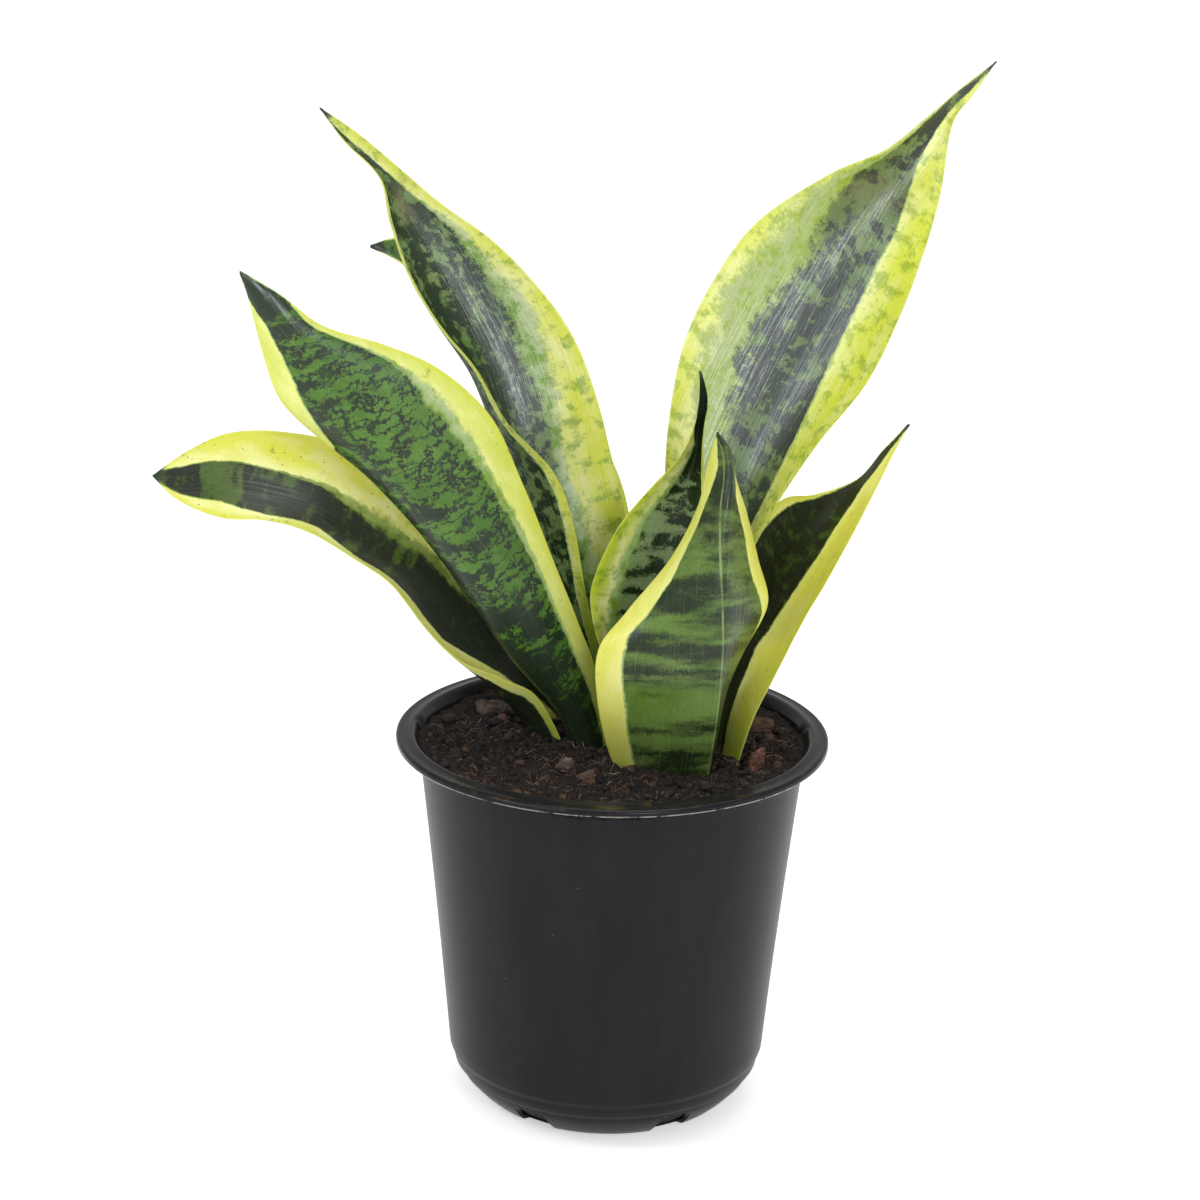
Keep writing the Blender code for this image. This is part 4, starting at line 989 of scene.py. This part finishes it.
def drain_cutter():
    """Six rounded bars that open the drain slots in the corner between the floor and the wall."""
    shape = bmesh.new()
    for number in range(DRAIN_COUNT):
        angle = DRAIN_START + 2 * math.pi * number / DRAIN_COUNT
        made = bmesh.ops.create_cube(shape, size=1)["verts"]
        size = Matrix.Diagonal((*DRAIN_SIZE, 1))
        place = (
            Matrix.Rotation(angle, 4, "Z")
            @ Matrix.Translation((FOOT_RADIUS + 9.5 * MM, 0, DRAIN_LIFT))
            @ Matrix.Rotation(DRAIN_TILT, 4, "Y")
        )
        bmesh.ops.transform(shape, matrix=place @ size, verts=made)
        made = set(made)
        along = [e for e in shape.edges if e.verts[0] in made and e.verts[1] in made]
        inward = Vector((math.cos(angle), math.sin(angle), 0))
        along = [e for e in along if abs((e.verts[0].co - e.verts[1].co).normalized().dot(inward)) > 0.7]
        bmesh.ops.bevel(shape, geom=along, offset=2.2 * MM, segments=5, affect="EDGES", profile=0.5)
    mesh = bpy.data.meshes.new("drain_cutter")
    shape.to_mesh(mesh)
    shape.free()
    return new_object("drain_cutter", mesh)


def build_pot():
    mesh = turned("pot_shell", pot_profile(), POT_STEPS)
    wear_pot(mesh)
    pot = new_object("pot_shell", mesh)
    cut(pot, drain_cutter())
    pot.data.shade_smooth()
    pot.data.set_sharp_from_angle(angle=math.radians(42))
    finish_piece(pot, [plastic_material()], "black_plastic", "pot")


# ---------------------------------------------------------------- soil

SOIL_RINGS = 150
SOIL_STEPS = 430
# The loose soil is banked against the flare of the pot's wall, just under the rim.
BED_RADIUS = SOIL_RADIUS + 1.3 * MM
BANK_HEIGHT = 2 * MM
CRUMB_COUNT = 2300
FIBRE_COUNT = 900
FIBRE_POINTS = 10


def soil_height(radius):
    """Height of the soil's even surface: a shallow dish, highest at the wall."""
    return SOIL_MIDDLE + SOIL_DIP * min(1, radius / SOIL_RADIUS) ** 3


def soil_relief(x, y):
    """Height of the lumps and hollows of the surface at a point."""
    p = Vector((x, y, 0)) / MM
    broad = noise.noise(p / 22 + Vector((3, 8, 1)))
    lumps = noise.fractal(p / 7.5, 0.9, 2.1, 3)
    crumbs = noise.turbulence(p / 2.6 + Vector((9, 2, 5)), 3, False)
    fine = noise.noise(p / 0.9)
    return (1.4 * broad + 2.1 * lumps + 2 * (crumbs - 0.55) + 0.3 * fine) * MM


def surface_at(x, y):
    """Height of the soil at a point, calmer where it is banked against the wall."""
    radius = math.hypot(x, y)
    bank = min(1, max(0, radius / BED_RADIUS * 4 - 3))
    calm = 1 - 0.6 * bank
    return soil_height(radius) + soil_relief(x, y) * calm + BANK_HEIGHT * bank * bank


def build_soil():
    """The peat: a lumpy surface on a plain body that fills the pot."""
    points, faces = [(0, 0, surface_at(0, 0))], []
    for ring in range(1, SOIL_RINGS + 1):
        radius = BED_RADIUS * (ring / SOIL_RINGS) ** 0.8
        points += [(x, y, surface_at(x, y)) for x, y in circle(radius, SOIL_STEPS, 0.5 * (ring % 2))]
    gap = WALL + 0.3 * MM
    body = [(pot_outside(h) - gap, h) for h in np.linspace(SOIL_EDGE - 8 * MM, RING_HEIGHT + 6 * MM, 5)]
    body += near(RING_RADIUS - gap, RING_HEIGHT, ((-1.1, 1.4),))
    body += near(RING_RADIUS - gap, STEP_HEIGHT, ((-3.9, 1.6), (-5.7, -2.9)))
    body += near(FOOT_RADIUS, gap, ((5.8, 2.6), (-0.8, 0)))
    for radius, height in body:
        points += [(x, y, height) for x, y in circle(radius, SOIL_STEPS)]
    points.append((0, 0, gap))
    for i in range(SOIL_STEPS):
        faces.append((0, 1 + i, 1 + (i + 1) % SOIL_STEPS))
    for ring in range(SOIL_RINGS + len(body) - 1):
        low = 1 + ring * SOIL_STEPS
        high = low + SOIL_STEPS
        for i in range(SOIL_STEPS):
            j = (i + 1) % SOIL_STEPS
            faces.append((low + i, high + i, high + j, low + j))
    last = 1 + (SOIL_RINGS + len(body) - 1) * SOIL_STEPS
    for i in range(SOIL_STEPS):
        faces.append((last + (i + 1) % SOIL_STEPS, last + i, len(points) - 1))
    mesh = new_mesh("peat_bed", points, faces)
    mesh.shade_smooth()
    finish_piece(new_object("peat_bed", mesh), [soil_material()], "dark_peat", "soil")


CRUMB_COLOURS = (
    rgb(26, 19, 16), rgb(38, 28, 22), rgb(20, 15, 13), rgb(52, 38, 29), rgb(72, 53, 40),
    rgb(40, 29, 24), rgb(86, 63, 47), rgb(30, 22, 18),
)


def lump_template(detail):
    """The points and faces of a ball of radius 1."""
    shape = bmesh.new()
    bmesh.ops.create_icosphere(shape, subdivisions=detail, radius=1)
    points = np.array([v.co[:] for v in shape.verts])
    faces = np.array([[v.index for v in f.verts] for f in shape.faces])
    shape.free()
    return points, faces


def merged(name, parts, colours):
    """One mesh from many (points, faces), with each part's own colour on its points."""
    points = np.concatenate([p for p, _ in parts])
    starts = np.cumsum([0] + [len(p) for p, _ in parts[:-1]])
    faces = np.concatenate([f + s for (_, f), s in zip(parts, starts)])
    mesh = new_mesh(name, points.tolist(), faces.tolist())
    layer = mesh.attributes.new("own_colour", "FLOAT_COLOR", "POINT")
    shades = np.concatenate([np.tile((*c, 1), (len(p), 1)) for c, (p, _) in zip(colours, parts)])
    layer.data.foreach_set("color", shades.astype(np.float32).ravel())
    mesh.shade_smooth()
    return mesh


def scatter_spot(draw, margin):
    """A place on the soil, at least the margin away from the wall."""
    radius = (SOIL_RADIUS - margin) * math.sqrt(draw.random())
    angle = 2 * math.pi * draw.random()
    return radius * math.cos(angle), radius * math.sin(angle)


def build_crumbs():
    """Loose crumbs of peat and small bits of bark on the surface."""
    draw = random.Random(7)
    fine, coarse = lump_template(1), lump_template(2)
    parts, colours = [], []
    for number in range(CRUMB_COUNT):
        big = number % 9 == 0
        base, faces = coarse if big else fine
        size = (draw.uniform(1.1, 2.9) if big else draw.uniform(0.35, 1.2)) * MM
        shape = np.array([draw.uniform(0.55, 1.5), draw.uniform(0.5, 1.1), draw.uniform(0.35, 0.85)])
        knobs = 1 + 0.35 * np.array([noise.noise(Vector(p) * 1.7 + Vector((number, 0, 0))) for p in base])
        points = base * knobs[:, None] * shape * size
        turn = Matrix.Rotation(draw.uniform(0, 2 * math.pi), 3, "Z")
        turn = turn @ Matrix.Rotation(draw.uniform(-0.6, 0.6), 3, "X")
        x, y = scatter_spot(draw, size + 0.6 * MM)
        points = points @ np.array(turn).T + (x, y, surface_at(x, y) + size * 0.12)
        parts.append((points, faces))
        colours.append(draw.choice(CRUMB_COLOURS))
    mesh = merged("peat_crumbs", parts, colours)
    finish_piece(new_object("peat_crumbs", mesh), [crumb_material()], "dark_peat")


FIBRE_COLOURS = (rgb(124, 92, 62), rgb(156, 124, 90), rgb(98, 70, 46), rgb(78, 54, 36), rgb(190, 164, 132))


def tube(path, radii, sides=5):
    """A thin closed tube along a path."""
    path = np.array(path)
    heading = unit(np.gradient(path, axis=0))
    side = unit(np.cross(heading, (0.3, 0.2, 1)))
    up = np.cross(side, heading)
    angles = 2 * np.pi * np.arange(sides) / sides
    ring = side[:, None] * np.cos(angles)[None, :, None] + up[:, None] * np.sin(angles)[None, :, None]
    points = (path[:, None] + ring * np.array(radii)[:, None, None]).reshape(-1, 3)
    faces = []
    for k in range(len(path) - 1):
        for i in range(sides):
            a, b = k * sides + i, k * sides + (i + 1) % sides
            faces += [(a, b, b + sides), (a, b + sides, a + sides)]
    first, last = len(points), len(points) + 1
    points = np.vstack([points, path[0], path[-1]])
    end = (len(path) - 1) * sides
    for i in range(sides):
        j = (i + 1) % sides
        faces += [(first, j, i), (last, end + i, end + j)]
    return points, np.array(faces)


def build_fibres():
    """Fine roots and peat fibres that curl over the surface."""
    draw = random.Random(21)
    parts, colours = [], []
    for _ in range(FIBRE_COUNT):
        x, y = scatter_spot(draw, 4 * MM)
        heading = draw.uniform(0, 2 * math.pi)
        bend = draw.uniform(-0.35, 0.35)
        lift = draw.choice((0.15, 0.3, 0.6, 1.2)) * MM
        length = draw.uniform(2.5, 9) * MM
        path = []
        for k in range(FIBRE_POINTS):
            share = k / (FIBRE_POINTS - 1)
            z = surface_at(x, y) + 0.15 * MM + lift * math.sin(math.pi * min(1, share * 1.1))
            path.append((x, y, z))
            heading += bend + draw.uniform(-0.3, 0.3)
            x += math.cos(heading) * length / FIBRE_POINTS
            y += math.sin(heading) * length / FIBRE_POINTS
            if math.hypot(x, y) > SOIL_RADIUS - 1.2 * MM:
                heading += math.pi / 2
        path = np.array(path)
        path[1:-1, 2] = (path[:-2, 2] + path[1:-1, 2] + path[2:, 2]) / 3
        thick = draw.uniform(0.04, 0.11) * MM
        radii = [thick * (1 - 0.6 * k / FIBRE_POINTS) for k in range(FIBRE_POINTS)]
        parts.append(tube(path, radii))
        colours.append(draw.choice(FIBRE_COLOURS))
    mesh = merged("peat_fibres", parts, colours)
    finish_piece(new_object("peat_fibres", mesh), [fibre_material()], "dark_peat")


# ---------------------------------------------------------------- bark chips

# Each chip's turn about Z in degrees, its colour and its paler one
CHIP_LOOKS = {
    "chip_flat_left": (10, rgb(92, 74, 64), rgb(124, 104, 92)),
    "chip_front_left": (35, rgb(84, 66, 58), rgb(134, 112, 100)),
    "chip_front": (-20, rgb(92, 68, 50), rgb(140, 110, 84)),
    "chip_red_right": (20, rgb(122, 76, 60), rgb(160, 112, 92)),
    "chip_large_right": (-12, rgb(92, 64, 48), rgb(140, 104, 78)),
    "chip_back": (30, rgb(80, 58, 46), rgb(120, 92, 72)),
}


def build_chips():
    """Bark chips, each filling the box of its plain solid, broken along its layers."""
    for number, (name, (turn, base, pale)) in enumerate(CHIP_LOOKS.items()):
        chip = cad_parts[name]
        shape = bmesh.new()
        shape.from_mesh(chip.data)
        bmesh.ops.remove_doubles(shape, verts=shape.verts, dist=1e-6)
        bmesh.ops.subdivide_edges(shape, edges=shape.edges, cuts=3, use_grid_fill=True)
        low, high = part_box(name)
        centre = (low + high) / 2
        turned_back = Matrix.Rotation(-math.radians(turn), 3, "Z")
        small = min(high - low)
        shape.normal_update()
        moves = []
        for vertex in shape.verts:
            p = turned_back @ (vertex.co - centre) / MM
            layers = Vector((p.x * 0.12, p.y * 0.55, p.z * 0.9)) + Vector((number, 0, 0))
            ridges = noise.turbulence(layers, 3, True)
            pits = noise.noise(p * 0.9 + Vector((0, number, 0)))
            moves.append(vertex.normal * ((ridges - 0.9) * 0.16 + pits * 0.07) * small)
        for vertex, move in zip(shape.verts, moves):
            vertex.co += move
        mesh = bpy.data.meshes.new(name + "_bark")
        shape.to_mesh(mesh)
        shape.free()
        mesh.shade_smooth()
        mesh.set_sharp_from_angle(angle=math.radians(50))
        piece = new_object(name + "_bark", mesh)
        finish_piece(piece, [bark_material(name + "_look", base, pale)], "bark", name)


# ---------------------------------------------------------------- stage, light, camera


FLOOR_REACH = 6  # metres
FLOOR_GLOW = 0.46
# Name, direction from the plant, distance, size, watts, colour, and whether it only adds sheen
LIGHTS = (
    ("softbox_left", (-0.66, -0.28, 0.66), 1.8, (0.5, 0.5), 6, (0.94, 0.97, 1), False),
    ("softbox_front", (0.3, -0.9, 0.36), 1.9, (0.5, 0.5), 9, (0.96, 0.98, 1), False),
    ("overhead", (0.1, 0.25, 1), 1.7, (1.2, 1.2), 8, (1, 1, 1), False),
    ("sheen_left", (-0.55, -0.5, 0.66), 1.8, (1, 0.5), 13, (0.8, 0.91, 1), True),
    ("sheen_front", (0.28, -0.91, 0.34), 1.9, (0.6, 0.4), 13, (0.82, 0.92, 1), True),
    ("sheen_top", (0.2, 0.05, 1), 1.8, (0.5, 0.5), 4, (0.9, 0.95, 1), True),
)


def build_stage():
    """A plain white floor, which glows a little so that shadows stay soft."""
    made = Nodes("pale_floor")
    tone = made.noise(made.place(), 350, 2, 0.5)
    colour = made.mix(tone, (0.93, 0.93, 0.93), (0.95, 0.95, 0.95))
    glow = {"Emission_Color": (1, 1, 1, 1), "Emission_Strength": FLOOR_GLOW}
    corners = [(x * FLOOR_REACH, y * FLOOR_REACH, 0) for x, y in ((-1, -1), (1, -1), (1, 1), (-1, 1))]
    mesh = new_mesh("floor", corners, [(0, 1, 2, 3)])
    mesh.materials.append(made.finish(colour, 0.9, Specular_IOR_Level=0, **glow))
    floor = new_object("floor", mesh)
    floor.location.z = -0.2 * MM


def soft_light(name, place, aim, size, power, colour):
    data = bpy.data.lights.new(name, "AREA")
    data.shape = "RECTANGLE"
    data.size, data.size_y = size
    data.energy = power
    data.color = colour
    lamp = new_object(name, data)
    lamp.location = place
    lamp.rotation_euler = (aim - place).to_track_quat("-Z", "Y").to_euler()
    return lamp


def light_scene():
    world = bpy.data.worlds.new("studio")
    bpy.context.scene.world = world
    world.use_nodes = True
    background = world.node_tree.nodes["Background"]
    background.inputs["Color"].default_value = (1, 1, 1, 1)
    background.inputs["Strength"].default_value = 0.7
    plant = Vector((0, 0, 0.22))
    for name, toward, away, size, power, colour, only_sheen in LIGHTS:
        place = plant + Vector(toward).normalized() * away
        lamp = soft_light(name, place, plant, size, power, colour)
        lamp.visible_diffuse = not only_sheen


def place_camera():
    """A long lens in front of the plant, looking a little down."""
    elevation = math.radians(17.9)
    distance = 1.2
    aim = Vector((-0.0057, 0, 0.200))
    data = bpy.data.cameras.new("camera")
    data.lens = 95.6
    data.sensor_width = 36
    camera = new_object("camera", data)
    camera.location = aim + distance * Vector((0, -math.cos(elevation), math.sin(elevation)))
    facing = (aim - camera.location).to_track_quat("-Z", "Y").to_matrix()
    roll = Matrix.Rotation(math.radians(1.14), 3, "Z")
    camera.rotation_euler = (facing @ roll).to_euler()
    bpy.context.scene.camera = camera


place_camera()
light_scene()
build_stage()
build_pot()
build_soil()
build_crumbs()
build_fibres()
build_chips()
build_leaves()
bpy.context.scene.view_settings.view_transform = "Standard"
